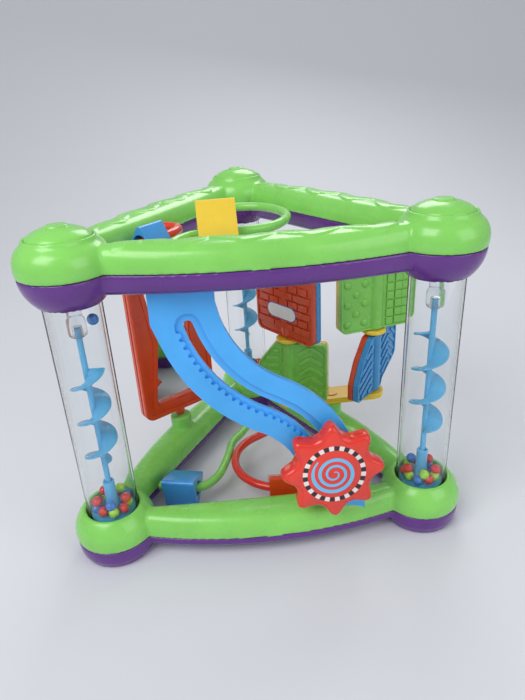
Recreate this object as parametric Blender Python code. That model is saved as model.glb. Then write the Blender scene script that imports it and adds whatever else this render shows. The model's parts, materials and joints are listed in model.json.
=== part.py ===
"""Three-sided baby activity toy: two ring frames joined by three clear columns, with play panels between.

Metres, +Z up, -Y is the front side, origin at the middle of the bounding box's underside.
Every object is one real piece. Moving pieces hang under an empty that stands on their joint's axis.
"""

import math

import bmesh
import bpy
from mathutils import Matrix, Vector

MM = 0.001

# ---------------------------------------------------------------- driving dimensions
SPACING = 250 * MM  # between two corner columns
TRIANGLE = SPACING * math.sqrt(3) / 2  # depth of the corner triangle
POD_R = 31 * MM  # corner pod at the parting line
POD_BELLY_R = 31.6 * MM  # the widest ring of a pod
FOOT_DROP = 17 * MM  # bottom parting line above the table
RING_STEP = 214.5 * MM  # bottom parting line to top parting line
PART_GAP = 0.3 * MM  # gap left where two pieces touch
WALL = 2.4 * MM  # moulded wall thickness

FRONT_REACH = 40.2 * MM  # front face of the star wheel, ahead of the front columns
FRONT_Y = (FRONT_REACH - TRIANGLE - POD_BELLY_R) / 2
CORNERS = {
    "left": Vector((-SPACING / 2, FRONT_Y)),
    "right": Vector((SPACING / 2, FRONT_Y)),
    "back": Vector((0, FRONT_Y + TRIANGLE)),
}
SIDES = (("left", "right"), ("right", "back"), ("back", "left"))
BOTTOM_Z = FOOT_DROP
TOP_Z = FOOT_DROP + RING_STEP

# rails between the pods
RAIL_END = 23 * MM  # where a rail starts, from the corner axis
RAIL_OUT_END = 15.5 * MM  # outer edge ahead of the corner line, at a rail's ends
RAIL_OUT_MID = 30.5 * MM  # the same at mid span
RAIL_IN = 4 * MM  # inner edge behind the corner line
RAIL_CREST = 18.5 * MM
TOP_RAIL_DEPTH = 15 * MM
BOTTOM_RAIL_DEPTH = 8.5 * MM

# columns
TUBE_R = 19.7 * MM
TUBE_WALL = 2 * MM
TUBE_HOLE_R = 20.4 * MM
POD_MOUTH = 24 * MM  # rim of a pod above its parting line
TUBE_BOTTOM = BOTTOM_Z + 1 * MM
TUBE_TOP = TOP_Z - 5 * MM
BASE_TOP = BOTTOM_Z + 20 * MM  # the blue disc that the loose beads lie on
CUP_TOP = BOTTOM_Z + 46 * MM
CUP_R = 4.4 * MM
SOCKET_BOTTOM = BOTTOM_Z + 168 * MM
AUGER_SHAFT_R = 2.2 * MM
AUGER_R = 13.6 * MM
AUGER_PITCH = 28.7 * MM
AUGER_TURNS = 2.85
AUGER_START = {"left": 60.5 * MM, "right": 67 * MM, "back": 62 * MM}  # above the bottom parting line
AUGER_BLADE = 1.8 * MM
AUGER_ANGLE = {"left": 54, "right": 240, "back": 60}

# slide panel, in its own plane: x to the right, y up the panel, z out of its front face
PANEL_TILT = math.radians(4)
PANEL_Y = FRONT_Y - 21 * MM
PANEL_Z = BOTTOM_Z + 16 * MM
PANEL_THICK = 6 * MM
PANEL_HALF = 22.3 * MM
FOOT_LEFT = 7.3 * MM  # the narrower left half of its foot
PANEL_TOP = 188 * MM
PANEL_BOTTOM = -7 * MM
WHEEL_XY = Vector((44.98 * MM, 42.22 * MM))  # the wheel at the slot's low end
LOW_ARC_R = 78.5 * MM
HIGH_ARC_R = 101.6 * MM
HEADING_LOW = math.radians(-74.5)  # the slot's direction at its low end, going down
HEADING_MID = math.radians(-26)  # at the bend's turning point
HEADING_TOP = math.radians(-75.5)
SLOT_HALF = 3.5 * MM
RACK_DEPTH = 2.5 * MM
RACK_SIDE = 8.9 * MM  # smooth side of the rack's recess, from the slot's centre line
TOOTH_TIP = 6.2 * MM
TOOTH_ROOT = 9.2 * MM

# star wheel
PINION_TEETH = 7
PINION_R = 7.2 * MM  # pitch radius
PINION_TIP = 1.1 * MM
PINION_ROOT = 1.5 * MM
AXLE_R = 2.5 * MM
BORE_R = 2.8 * MM
STAR_LOBES = 8
STAR_MEAN_R = 33.4 * MM
STAR_WAVE = 4.2 * MM
STAR_SHARP = 0.8 * MM
STAR_TURN = math.radians(91.5)
STAR_BACK = 6 * MM
STAR_FRONT = 19 * MM
STAR_BEVEL = 3 * MM
LABEL_THICK = 0.5 * MM

# back sides: a tall mirror on the left, a carousel of flippers on the right
SIDE_OUT = 14 * MM  # middle of a rail outside the corner line
MIRROR_TURN = math.radians(34)
MIRROR_HALF = 38 * MM
MIRROR_LOW = BOTTOM_Z + 39 * MM
MIRROR_HIGH = BOTTOM_Z + 189 * MM
MIRROR_THICK = 12 * MM
SHEET_THICK = 1.6 * MM
BOSS_R = 10 * MM
LOW_BOSS_TOP = BOTTOM_Z + 31.5 * MM
PIN_R = 2.8 * MM
PIN_HOLE_R = 3.2 * MM
PIN_LENGTH = 8 * MM

CAROUSEL_TURN = math.radians(2)
SHAFT_OUT = 41 * MM
SHAFT_R = 2.5 * MM
LOW_BAR = (BOTTOM_Z + 33 * MM, BOTTOM_Z + 39 * MM)
HIGH_BAR = (BOTTOM_Z + 168 * MM, BOTTOM_Z + 174 * MM)
BAR_END_R = 11.5 * MM
COLLAR = (BOTTOM_Z + 100 * MM, BOTTOM_Z + 104.5 * MM)
LOW_FLIPPER = (BOTTOM_Z + 40.5 * MM, BOTTOM_Z + 99 * MM)
HIGH_FLIPPER = (BOTTOM_Z + 105.5 * MM, BOTTOM_Z + 166.5 * MM)
WING = 37 * MM
FLIPPER_HALF = 6 * MM
HINGE_TUBE_R = 7.5 * MM
FLIPPER_TURN = {"upper_left": -55, "lower_left": -20, "upper_right": 14, "lower_right": 46}

# bead mazes
MAZE_TUBE_R = 3.7 * MM
MAZE_BORE_R = 6.4 * MM
MAZE_RISE = 4.5 * MM  # tube centre above a ring's parting line

GREEN = (0.22, 0.62, 0.09)
PURPLE = (0.09, 0.015, 0.20)
SKY = (0.10, 0.45, 0.90)
AUGER_BLUE = (0.16, 0.48, 0.78)
DEEP_BLUE = (0.02, 0.22, 0.52)
RED = (0.72, 0.04, 0.02)
ORANGE = (0.75, 0.11, 0.01)
YELLOW = (0.88, 0.62, 0.04)
CLEAR = (0.85, 0.92, 0.93)
SILVER = (0.80, 0.80, 0.82)


# ---------------------------------------------------------------- small tools
def clear_scene():
    for obj in list(bpy.data.objects):
        bpy.data.objects.remove(obj, do_unlink=True)


def material(name, colour, roughness=0.3, metallic=0.0):
    """A Principled material, made once for each name."""
    found = bpy.data.materials.get(name)
    if found:
        return found
    made = bpy.data.materials.new(name)
    made.use_nodes = True
    shader = made.node_tree.nodes["Principled BSDF"]
    shader.inputs["Base Color"].default_value = (*colour, 1)
    shader.inputs["Roughness"].default_value = roughness
    shader.inputs["Metallic"].default_value = metallic
    made.diffuse_color = (*colour, 1)
    return made


def add(name, bm, look=None, parent=None, place=None):
    """Make an object from a bmesh, smooth where it is round."""
    bmesh.ops.recalc_face_normals(bm, faces=bm.faces)
    mesh = bpy.data.meshes.new(name)
    bm.to_mesh(mesh)
    bm.free()
    mesh.shade_smooth()
    mesh.set_sharp_from_angle(angle=math.radians(35))
    obj = bpy.data.objects.new(name, mesh)
    bpy.context.scene.collection.objects.link(obj)
    if look:
        mesh.materials.append(look)
    if parent:
        obj.parent = parent
    if place is not None:
        obj.location = place
    return obj


def tool(name, bm, parent=None, place=None):
    """A hidden shape for a Boolean."""
    obj = add(name, bm, None, parent, place)
    obj.hide_render = True
    obj.display_type = "WIRE"
    return obj


def boolean(obj, other, operation):
    """The exact solver, but not for the ring shells and the bars, which it leaves open."""
    step = obj.modifiers.new(operation.title(), "BOOLEAN")
    step.object = other
    step.operation = operation
    step.solver = "MANIFOLD" if obj.name.endswith(("_shell", "_bar")) else "EXACT"


def cut(obj, *others):
    for other in others:
        boolean(obj, other, "DIFFERENCE")


def join(obj, *others):
    for other in others:
        boolean(obj, other, "UNION")


def empty(name, place, turn=0.0, parent=None):
    obj = bpy.data.objects.new(name, None)
    obj.location = place
    obj.rotation_euler = (0, 0, turn)
    obj.parent = parent
    bpy.context.scene.collection.objects.link(obj)
    return obj


def loft(loops, closed=False):
    """Skin between loops of equal length; the ends are capped unless the loops close on themselves."""
    bm = bmesh.new()
    rows = [[bm.verts.new(point) for point in loop] for loop in loops]
    pairs = list(zip(rows, rows[1:]))
    if closed:
        pairs.append((rows[-1], rows[0]))
    count = len(rows[0])
    for low, high in pairs:
        for i in range(count):
            j = (i + 1) % count
            bm.faces.new((low[i], low[j], high[j], high[i]))
    if not closed:
        bm.faces.new(rows[0][::-1])
        bm.faces.new(rows[-1])
    return bm


def turned(profile, segments=32, centre=(0, 0)):
    """Turn a closed (radius, height) profile about the vertical axis."""
    bm = bmesh.new()
    rows = []
    for radius, height in profile:
        if radius == 0:
            rows.append([bm.verts.new((centre[0], centre[1], height))] * segments)
            continue
        row = []
        for i in range(segments):
            angle = 2 * math.pi * i / segments
            x = centre[0] + radius * math.cos(angle)
            y = centre[1] + radius * math.sin(angle)
            row.append(bm.verts.new((x, y, height)))
        rows.append(row)
    for low, high in zip(rows, rows[1:] + rows[:1]):
        for i in range(segments):
            j = (i + 1) % segments
            corners = list(dict.fromkeys((low[i], low[j], high[j], high[i])))
            if len(corners) > 2:
                bm.faces.new(corners)
    return bm


def rod(radius, low, high, segments=24, centre=(0, 0)):
    return turned([(0, low), (radius, low), (radius, high), (0, high)], segments, centre)


def plate(outline, low, high):
    """Extrude a flat outline between two heights."""
    return loft([[(x, y, low) for x, y in outline], [(x, y, high) for x, y in outline]])


def box(low, high):
    x0, y0, z0 = low
    x1, y1, z1 = high
    return plate([(x0, y0), (x1, y0), (x1, y1), (x0, y1)], z0, z1)


def merged(*parts):
    """One bmesh that holds several closed shapes."""
    whole = bmesh.new()
    for part in parts:
        mesh = bpy.data.meshes.new("part")
        part.to_mesh(mesh)
        part.free()
        whole.from_mesh(mesh)
        bpy.data.meshes.remove(mesh)
    return whole


def rounded(corners, radius, steps=4):
    """A polygon with each corner rounded by an arc of the given radius, or by its own where it is a triple."""
    points = []
    count = len(corners)
    for i, corner in enumerate(corners):
        here = Vector(corner[:2])
        size = corner[2] if len(corner) > 2 else radius
        if size == 0:
            points.append(tuple(here))
            continue
        before = (Vector(corners[i - 1][:2]) - here).normalized()
        after = (Vector(corners[(i + 1) % count][:2]) - here).normalized()
        half = before.angle(after) / 2
        middle = here + (before + after).normalized() * size / math.sin(half)
        start = here + before * size / math.tan(half) - middle
        end = here + after * size / math.tan(half) - middle
        sweep = start.angle_signed(end)
        for step in range(steps + 1):
            turn = Matrix.Rotation(-sweep * step / steps, 2)
            points.append(tuple(middle + turn @ start))
    return points


def upright(bm):
    """Turn a plate drawn in x and y so that it stands in x and z, with its thickness along y."""
    bm.transform(Matrix.Rotation(math.pi / 2, 4, "X"))
    return bm


# ---------------------------------------------------------------- ring frames
def superellipse(across, height, power, steps):
    """Half an oval from one foot to the other, with squared shoulders."""
    points = []
    for i in range(steps + 1):
        angle = math.pi * i / steps
        side = math.copysign(abs(math.cos(angle)) ** power, math.cos(angle))
        points.append((across * side, height * math.sin(angle) ** power))
    return points


def rail(side, height, power, inset, stations=4, steps=5):
    """A bowed rail between two pods, from its parting line at height 0 up or down to its crest."""
    start, end = (CORNERS[name] for name in side)
    along = (end - start).normalized()
    outward = Vector((along.y, -along.x))
    loops = []
    for i in range(stations + 1):
        share = i / stations
        run = RAIL_END + (SPACING - 2 * RAIL_END) * share
        bow = 1 - (2 * share - 1) ** 2
        outer = RAIL_OUT_END + (RAIL_OUT_MID - RAIL_OUT_END) * bow - inset
        inner = -RAIL_IN + inset
        middle = (outer + inner) / 2
        loop = []
        for across, rise in superellipse((outer - inner) / 2, 1, power, steps):
            spot = start + along * run + outward * (middle + across)
            loop.append((spot.x, spot.y, rise * (height - math.copysign(inset, height))))
        loops.append(loop)
    return loft(loops)


def pod_profile(kind):
    """The half section of a pod, from the axis out, with heights from its parting line."""
    rows = {
        "top_upper": ((31, 0), (31.6, 6), (29, 15.5), (23.2, 24)),
        "top_lower": ((31, 0), (28.6, -10.5), (21, -21)),
        "bottom_upper": ((31, 0), (31.6, 6), (29, 16.5), (22.4, 24)),
        "bottom_lower": ((31, 0), (29.8, -11), (26.8, -17)),
    }[kind]
    profile = [(radius * MM, height * MM) for radius, height in rows]
    return [(0, profile[0][1])] + profile + [(0, profile[-1][1])]


def at_corners(make):
    """The same shape at all three corners, as one bmesh."""
    return merged(*(make(spot) for spot in CORNERS.values()))


def ring_shell(name, kind, level, height, power, look):
    """A hollow ring: three rails joined to three pods, with the same shape one wall smaller taken out."""
    up = 1 if height > 0 else -1
    place = (0, 0, level)
    outer = pod_profile(kind)
    inner = [(0, -up * WALL), (outer[1][0] - WALL, -up * WALL), (outer[-3][0] - WALL, outer[-3][1] - up * WALL)]
    inner += [(outer[-2][0] - 2 * WALL, outer[-2][1] - up * WALL), (0, outer[-2][1] - up * WALL)]
    shell = add(name, merged(*(rail(side, height, power, 0) for side in SIDES)), look, None, place)
    join(shell, tool(name + "_pods", at_corners(lambda spot: turned(outer, 16, spot)), None, place))
    cores = []
    for side in SIDES:
        core = rail(side, height, power, WALL, 4, 3)
        bmesh.ops.translate(core, verts=core.verts, vec=(0, 0, -up * PART_GAP))
        cores.append(core)
    cut(shell, tool(name + "_rail_cores", merged(*cores), None, place))
    cut(shell, tool(name + "_pod_cores", at_corners(lambda spot: turned(inner, 12, spot)), None, place))
    return shell


def side_middle(start, end):
    """The middle of a side's rail, and the direction along it."""
    along = (CORNERS[end] - CORNERS[start]).normalized()
    outward = Vector((along.y, -along.x))
    return (CORNERS[start] + CORNERS[end]) / 2 + outward * SIDE_OUT


MIRROR_XY = side_middle("back", "left")
CAROUSEL_XY = side_middle("right", "back")


def make_rings(panel_cut):
    green = material("green_plastic", GREEN, 0.22)
    purple = material("purple_plastic", PURPLE, 0.25)
    spots = {"mirror": MIRROR_XY, "carousel": CAROUSEL_XY}

    shell = ring_shell("top_upper_shell", "top_upper", TOP_Z + PART_GAP, RAIL_CREST, 0.75, green)
    seat = TOP_Z + 20.4 * MM
    cut(shell, tool("cap_seats", at_corners(lambda spot: rod(21.3 * MM, seat, TOP_Z + 30 * MM, 16, spot))))

    shell = ring_shell("top_lower_shell", "top_lower", TOP_Z, -TOP_RAIL_DEPTH, 0.6, purple)
    bosses = []
    holes = []
    for name, spot in spots.items():
        low = high_boss_bottom(name)
        bosses.append(rod(BOSS_R, low, TOP_Z - 2 * MM, 12, spot))
        holes.append(rod(PIN_HOLE_R, low - 5 * MM, low + PIN_LENGTH + MM, 12, spot))
    join(shell, tool("high_bosses", merged(*bosses)))
    cut(shell, tool("high_pin_holes", merged(*holes)))
    tubes = at_corners(lambda spot: rod(TUBE_HOLE_R, TOP_Z - 30 * MM, TOP_Z - 12 * MM, 16, spot))
    cut(shell, tool("top_tube_holes", tubes), panel_cut)

    shell = ring_shell("bottom_upper_shell", "bottom_upper", BOTTOM_Z + PART_GAP, RAIL_CREST, 0.75, green)
    bosses = []
    holes = []
    for spot in spots.values():
        bosses.append(rod(BOSS_R, BOTTOM_Z + 4 * MM, LOW_BOSS_TOP, 12, spot))
        holes.append(rod(PIN_HOLE_R, LOW_BOSS_TOP - PIN_LENGTH - MM, LOW_BOSS_TOP + MM, 12, spot))
    join(shell, tool("low_bosses", merged(*bosses)))
    cut(shell, tool("low_pin_holes", merged(*holes)))
    tubes = at_corners(lambda spot: rod(TUBE_HOLE_R, BOTTOM_Z + 18 * MM, BOTTOM_Z + 30 * MM, 16, spot))
    cut(shell, tool("bottom_tube_holes", tubes), panel_cut)

    low = ring_shell("bottom_lower_shell", "bottom_lower", BOTTOM_Z, -BOTTOM_RAIL_DEPTH, 0.45, purple)
    cut(low, tool("foot_holes", at_corners(lambda spot: rod(3.2 * MM, -MM, 10 * MM, 10, spot))))


def high_boss_bottom(name):
    """The bosses under the top ring reach down to the piece that turns below them."""
    return (MIRROR_HIGH if name == "mirror" else HIGH_BAR[1]) + 2 * MM


def make_caps():
    """A domed cap pressed into each top pod, with a small button in its middle."""
    look = material("green_plastic", GREEN, 0.22)
    base = TOP_Z + 21.8 * MM
    for corner, spot in CORNERS.items():
        profile = [
            (0, base - 5 * MM),
            (5.6 * MM, base - 5 * MM),
            (5.6 * MM, base),
            (20.9 * MM, base),
            (20.9 * MM, base + 1.4 * MM),
            (17.5 * MM, base + 4.2 * MM),
            (12.5 * MM, base + 6.6 * MM),
            (7.4 * MM, base + 7.7 * MM),
            (7.0 * MM, base + 8.8 * MM),
            (0, base + 9.3 * MM),
        ]
        add(f"corner_cap_{corner}", turned(profile, 16, spot), look)


def make_foot_screws():
    """One screw up through each foot into the column's base."""
    look = material("steel", (0.55, 0.55, 0.56), 0.35, 1.0)
    for corner, spot in CORNERS.items():
        head = BOTTOM_Z - FOOT_DROP + 1 * MM
        profile = [
            (0, head),
            (2.9 * MM, head),
            (2.9 * MM, head + 1.2 * MM),
            (1.3 * MM, head + 2 * MM),
            (1.3 * MM, BOTTOM_Z + 4 * MM),
            (0, BOTTOM_Z + 6 * MM),
        ]
        add(f"foot_screw_{corner}", turned(profile, 10, spot), look)


# ---------------------------------------------------------------- columns
def make_column(corner):
    spot = CORNERS[corner]
    bore = TUBE_R - TUBE_WALL
    fit = bore - 0.7 * MM
    clear = material("clear_plastic", CLEAR, 0.05)
    blue = material("auger_blue", AUGER_BLUE, 0.3)

    tube = [(TUBE_R, TUBE_BOTTOM), (TUBE_R, TUBE_TOP), (bore, TUBE_TOP), (bore, TUBE_BOTTOM)]
    add(f"column_tube_{corner}", turned(tube, 16, spot), clear)

    base = [
        (0, TUBE_BOTTOM + 8 * MM),
        (0, CUP_TOP - 6 * MM),
        (AUGER_SHAFT_R + 0.4 * MM, CUP_TOP - 6 * MM),
        (AUGER_SHAFT_R + 0.4 * MM, CUP_TOP),
        (CUP_R, CUP_TOP),
        (CUP_R, CUP_TOP - 9 * MM),
        (CUP_R + 1 * MM, BASE_TOP + 3 * MM),
        (CUP_R + 3 * MM, BASE_TOP),
        (fit, BASE_TOP),
        (fit, TUBE_BOTTOM),
        (1.8 * MM, TUBE_BOTTOM),
        (1.8 * MM, TUBE_BOTTOM + 8 * MM),
    ]
    add(f"column_base_{corner}", turned(base, 12, spot), blue)

    socket_r = 6.6 * MM
    hole_r = AUGER_SHAFT_R + 0.4 * MM
    socket = [
        (0, TUBE_TOP),
        (0, SOCKET_BOTTOM + 8 * MM),
        (hole_r, SOCKET_BOTTOM + 8 * MM),
        (hole_r, SOCKET_BOTTOM),
        (socket_r, SOCKET_BOTTOM),
        (socket_r, SOCKET_BOTTOM + 13 * MM),
        (socket_r - 1.5 * MM, SOCKET_BOTTOM + 14 * MM),
        (socket_r - 1.5 * MM, TOP_Z - 17 * MM),
        (fit, TOP_Z - 17 * MM),
        (fit, TUBE_TOP),
    ]
    add(f"column_socket_{corner}", turned(socket, 12, spot), clear)

    axis = empty(f"auger_axis_{corner}", (spot.x, spot.y, 0), math.radians(AUGER_ANGLE[corner]))
    auger = add(f"auger_{corner}", rod(AUGER_SHAFT_R, CUP_TOP - 5 * MM, SOCKET_BOTTOM + 7 * MM, 8), blue, axis)
    join(auger, tool(f"auger_blade_{corner}", blade(BOTTOM_Z + AUGER_START[corner]), axis))
    add(f"column_beads_{corner}", bead_bed(), material("bead_mix", (0.6, 0.2, 0.15), 0.3), None, (*spot, 0))


def blade(start):
    """A screw-shaped blade round the auger's shaft, right-handed."""
    loops = []
    steps = int(AUGER_TURNS * 8)
    inner = AUGER_SHAFT_R * 0.55
    for i in range(steps + 1):
        angle = 2 * math.pi * AUGER_TURNS * i / steps
        rise = start + AUGER_PITCH * AUGER_TURNS * i / steps
        reach = AUGER_R * (0.84 + 0.16 * min(1, 8 * i / steps, 8 * (1 - i / steps)))
        aim = Vector((math.cos(angle), math.sin(angle)))
        near, far = aim * inner, aim * reach
        half = AUGER_BLADE / 2
        loops.append(
            [
                (near.x, near.y, rise - half),
                (far.x, far.y, rise - half * 0.6),
                (far.x, far.y, rise + half * 0.6),
                (near.x, near.y, rise + half),
            ]
        )
    return loft(loops)


def bead_bed():
    """The heap of loose beads as one lumpy ring round the cup."""
    loops = []
    count = 18
    low = BASE_TOP + PART_GAP
    for i in range(count):
        angle = 2 * math.pi * i / count
        lump = 0.5 + 0.5 * math.cos(angle * 6)
        crest = low + (6.5 + 3.0 * lump + 2.0 * math.sin(angle)) * MM
        aim = Vector((math.cos(angle), math.sin(angle)))
        loop = []
        for radius, height in ((8.2, low), (16.8, low), (16.8, crest - 2 * MM), (12.6, crest), (8.2, crest - 2 * MM)):
            loop.append((aim.x * radius * MM, aim.y * radius * MM, height))
        loops.append(loop)
    return loft(loops, closed=True)


# ---------------------------------------------------------------- slide panel and star wheel
def right_of(heading):
    """The unit vector to the right of a direction of travel."""
    return Vector((math.sin(heading), -math.cos(heading)))


LOW_CENTRE = WHEEL_XY + LOW_ARC_R * right_of(HEADING_LOW)
BEND_XY = LOW_CENTRE - LOW_ARC_R * right_of(HEADING_MID)
HIGH_CENTRE = BEND_XY - HIGH_ARC_R * right_of(HEADING_MID)


def track_point(distance):
    """Place and heading (going down) at a distance up the slot from its low end."""
    low_length = LOW_ARC_R * (HEADING_MID - HEADING_LOW)
    if distance <= low_length:
        heading = HEADING_LOW + distance / LOW_ARC_R
        return LOW_CENTRE - LOW_ARC_R * right_of(heading), heading
    heading = HEADING_MID - (distance - low_length) / HIGH_ARC_R
    return HIGH_CENTRE + HIGH_ARC_R * right_of(heading), heading


TRACK_LENGTH = LOW_ARC_R * (HEADING_MID - HEADING_LOW) + HIGH_ARC_R * (HEADING_MID - HEADING_TOP)


def offset_line(offset, first, last, steps):
    """Points beside the slot's centre line, a positive offset being on the rack's side."""
    points = []
    for i in range(steps + 1):
        spot, heading = track_point(first + (last - first) * i / max(steps, 1))
        points.append(spot + right_of(heading) * offset)
    return points


def end_arc(distance, radius, steps, upper):
    """A round end about a track point: over the top from the rack's side, or under the bottom back to it."""
    spot, heading = track_point(distance)
    start = right_of(heading) * (radius if upper else -radius)
    points = []
    for i in range(1, steps):
        points.append(spot + Matrix.Rotation(-math.pi * i / steps, 2) @ start)
    return points


def slot_outline(half, steps=14):
    rack_side = offset_line(half, 0, TRACK_LENGTH, steps)
    far_side = offset_line(-half, 0, TRACK_LENGTH, steps)
    top = end_arc(TRACK_LENGTH, half, 5, True)
    low = end_arc(0, half, 5, False)
    return rack_side + top + far_side[::-1] + low


def rack_outline():
    """The recess for the pinion: smooth on one side, toothed on the other."""
    pitch = 2 * math.pi * PINION_R / PINION_TEETH
    rack_side = []
    middle = LOW_ARC_R * (HEADING_MID - HEADING_LOW)
    count = int(TRACK_LENGTH / pitch * LOW_ARC_R / (LOW_ARC_R - PINION_R)) + 1
    low_pitch = pitch * LOW_ARC_R / (LOW_ARC_R - PINION_R)
    high_pitch = pitch * HIGH_ARC_R / (HIGH_ARC_R + PINION_R)
    distance = -0.72 * low_pitch
    for _ in range(count):
        step = low_pitch if distance < middle else high_pitch
        for share, reach in ((0.08, TOOTH_ROOT), (0.36, TOOTH_ROOT), (0.56, TOOTH_TIP), (0.88, TOOTH_TIP)):
            there = distance + share * step
            if 0 <= there <= TRACK_LENGTH:
                spot, heading = track_point(there)
                rack_side.append(spot + right_of(heading) * reach)
        distance += step
    far_side = offset_line(-RACK_SIDE, 0, TRACK_LENGTH, 12)
    top = end_arc(TRACK_LENGTH, RACK_SIDE, 7, True)
    low = end_arc(0, RACK_SIDE, 7, False) + offset_line(RACK_SIDE, 0, 0, 0)
    return rack_side + top + far_side[::-1] + low


def panel_outline():
    """An S-shaped band: straight down from the top, then along the slot, then down to the bottom ring."""
    steps = 16
    top_x = track_point(TRACK_LENGTH)[0].x - 2.5 * MM
    foot_x = WHEEL_XY.x + 6 * MM
    left = offset_line(PANEL_HALF, 8 * MM, TRACK_LENGTH - 6 * MM, steps)
    right = offset_line(-PANEL_HALF, 2 * MM, TRACK_LENGTH - 2 * MM, steps)
    left_end = [(top_x - PANEL_HALF, 160 * MM), (top_x - PANEL_HALF, PANEL_TOP)]
    right_end = [(top_x + PANEL_HALF, PANEL_TOP), (top_x + PANEL_HALF, 172 * MM)]
    foot = [
        (foot_x + PANEL_HALF - 2 * MM, 18 * MM),
        (foot_x + PANEL_HALF, PANEL_BOTTOM),
        (foot_x - FOOT_LEFT, PANEL_BOTTOM),
        (foot_x - FOOT_LEFT - 2 * MM, 12 * MM),
        (foot_x - 16 * MM, 26 * MM),
    ]
    return [tuple(p) for p in left] + left_end + right_end + [tuple(p) for p in right[::-1]] + foot


def panel_frame():
    frame = empty("panel_plane", (0, PANEL_Y, PANEL_Z))
    frame.rotation_euler = (math.pi / 2 - PANEL_TILT, 0, 0)
    return frame


def make_panel(frame):
    panel = add("slide_panel", plate(panel_outline(), -PANEL_THICK, 0), material("sky_plastic", SKY, 0.3), frame)
    cut(panel, tool("slot_cut", plate(slot_outline(SLOT_HALF), -10 * MM, 10 * MM), frame))
    cut(panel, tool("rack_cut", plate(rack_outline(), -RACK_DEPTH, 10 * MM), frame))
    grow = PART_GAP
    foot_x = WHEEL_XY.x + 6 * MM
    top_x = track_point(TRACK_LENGTH)[0].x - 2.5 * MM
    holes = merged(
        box(
            (foot_x - FOOT_LEFT - 1.5 * MM, PANEL_BOTTOM - grow, -PANEL_THICK - grow),
            (foot_x + PANEL_HALF + grow, 30 * MM, grow),
        ),
        box(
            (top_x - PANEL_HALF - grow, PANEL_TOP - 30 * MM, -PANEL_THICK - grow),
            (top_x + PANEL_HALF + grow, PANEL_TOP + grow, grow),
        ),
    )
    return tool("panel_holes", holes, frame)


def star_outline(shrink):
    points = []
    for i in range(STAR_LOBES * 6):
        angle = 2 * math.pi * i / (STAR_LOBES * 6)
        wave = math.cos(STAR_LOBES * (angle - STAR_TURN))
        sharp = math.cos(2 * STAR_LOBES * (angle - STAR_TURN))
        radius = STAR_MEAN_R + STAR_WAVE * wave + STAR_SHARP * sharp - shrink
        points.append((radius * math.cos(angle), radius * math.sin(angle)))
    return points


def pinion_outline(phase):
    """Seven blunt teeth, one pointing along the phase angle."""
    points = []
    pitch = 2 * math.pi / PINION_TEETH
    tip = PINION_R + PINION_TIP
    root = PINION_R - PINION_ROOT
    for i in range(PINION_TEETH):
        for share, radius in ((-0.30, root), (-0.11, tip), (0.11, tip), (0.30, root)):
            angle = phase + (i + share) * pitch
            points.append((radius * math.cos(angle), radius * math.sin(angle)))
    return points


def make_wheel(frame):
    """The axle slides in the slot; the star wheel, its pinion, label and screw turn on it."""
    hub = bpy.data.objects.new("wheel_axis", None)
    hub.parent = frame
    hub.location = (WHEEL_XY.x, WHEEL_XY.y, 0)
    bpy.context.scene.collection.objects.link(hub)
    red = material("star_red", RED, 0.2)
    steel = material("steel", (0.55, 0.55, 0.56), 0.35, 1.0)

    axle = [
        (0, -PANEL_THICK - 3 * MM),
        (8.5 * MM, -PANEL_THICK - 3 * MM),
        (8.5 * MM, -PANEL_THICK - 0.6 * MM),
        (AXLE_R, -PANEL_THICK - 0.6 * MM),
        (AXLE_R, 13.7 * MM),
        (0, 13.7 * MM),
    ]
    add("wheel_axle", turned(axle, 20), material("sky_plastic", SKY, 0.3), hub)

    rack_way = right_of(HEADING_LOW)
    phase = math.atan2(rack_way.y, rack_way.x) + math.pi / PINION_TEETH
    pinion = add("wheel_pinion", plate(pinion_outline(phase), -RACK_DEPTH + 0.5 * MM, 2 * MM), red, hub)
    join(pinion, tool("pinion_hub", rod(6.5 * MM, 0, 5.7 * MM, 20), hub))
    cut(pinion, tool("pinion_bore", rod(BORE_R, -9 * MM, 9 * MM, 16), hub))

    levels = ((STAR_BACK, 1.6), (STAR_BACK + 1.6 * MM, 0), (STAR_FRONT - 3.2 * MM, 0), (STAR_FRONT, 3))
    loops = [[(x, y, level) for x, y in star_outline(inset * MM)] for level, inset in levels]
    star = add("star_wheel", loft(loops), red, hub)
    pocket = [
        (0, -5 * MM),
        (BORE_R, -5 * MM),
        (BORE_R, 14.7 * MM),
        (5.5 * MM, 14.7 * MM),
        (5.5 * MM, STAR_FRONT + 2 * MM),
        (0, STAR_FRONT + 2 * MM),
    ]
    cut(star, tool("star_bore", turned(pocket, 20), hub))
    hollow = [
        (12 * MM, 0),
        (27 * MM, 0),
        (27 * MM, STAR_FRONT - 3 * MM),
        (12 * MM, STAR_FRONT - 3 * MM),
    ]
    cut(star, tool("star_hollow", turned(hollow, 24), hub))

    screw = [(0, 14 * MM), (BORE_R - 0.6 * MM, 14 * MM), (BORE_R - 0.6 * MM, 15 * MM)]
    screw += [(4.6 * MM, 15 * MM), (4.6 * MM, 17.3 * MM), (0, 17.3 * MM)]
    add("wheel_screw", turned(screw, 16), steel, hub)

    low = STAR_FRONT + PART_GAP
    label = [[(x, y, level) for x, y in star_outline(STAR_BEVEL + MM)] for level in (low, low + LABEL_THICK)]
    add("wheel_label", loft(label), material("label_red", RED, 0.3), hub)


# ---------------------------------------------------------------- mirror
def mirror_outline():
    half, low, high = MIRROR_HALF, MIRROR_LOW, MIRROR_HIGH
    return rounded([(-half, low), (half, low), (half, high), (-half, high)], 8 * MM, 3)


def window_outline(grow=0.0):
    """The window is pinched at mid height."""
    low = MIRROR_LOW + 14 * MM - grow
    high = MIRROR_HIGH - 14 * MM + grow
    middle = (low + high) / 2
    wide = 26 * MM + grow
    slim = 19 * MM + grow
    corners = [(-wide, low), (wide, low), (slim, middle), (wide, high), (-wide, high), (-slim, middle)]
    return rounded(corners, 4 * MM, 2)


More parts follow.
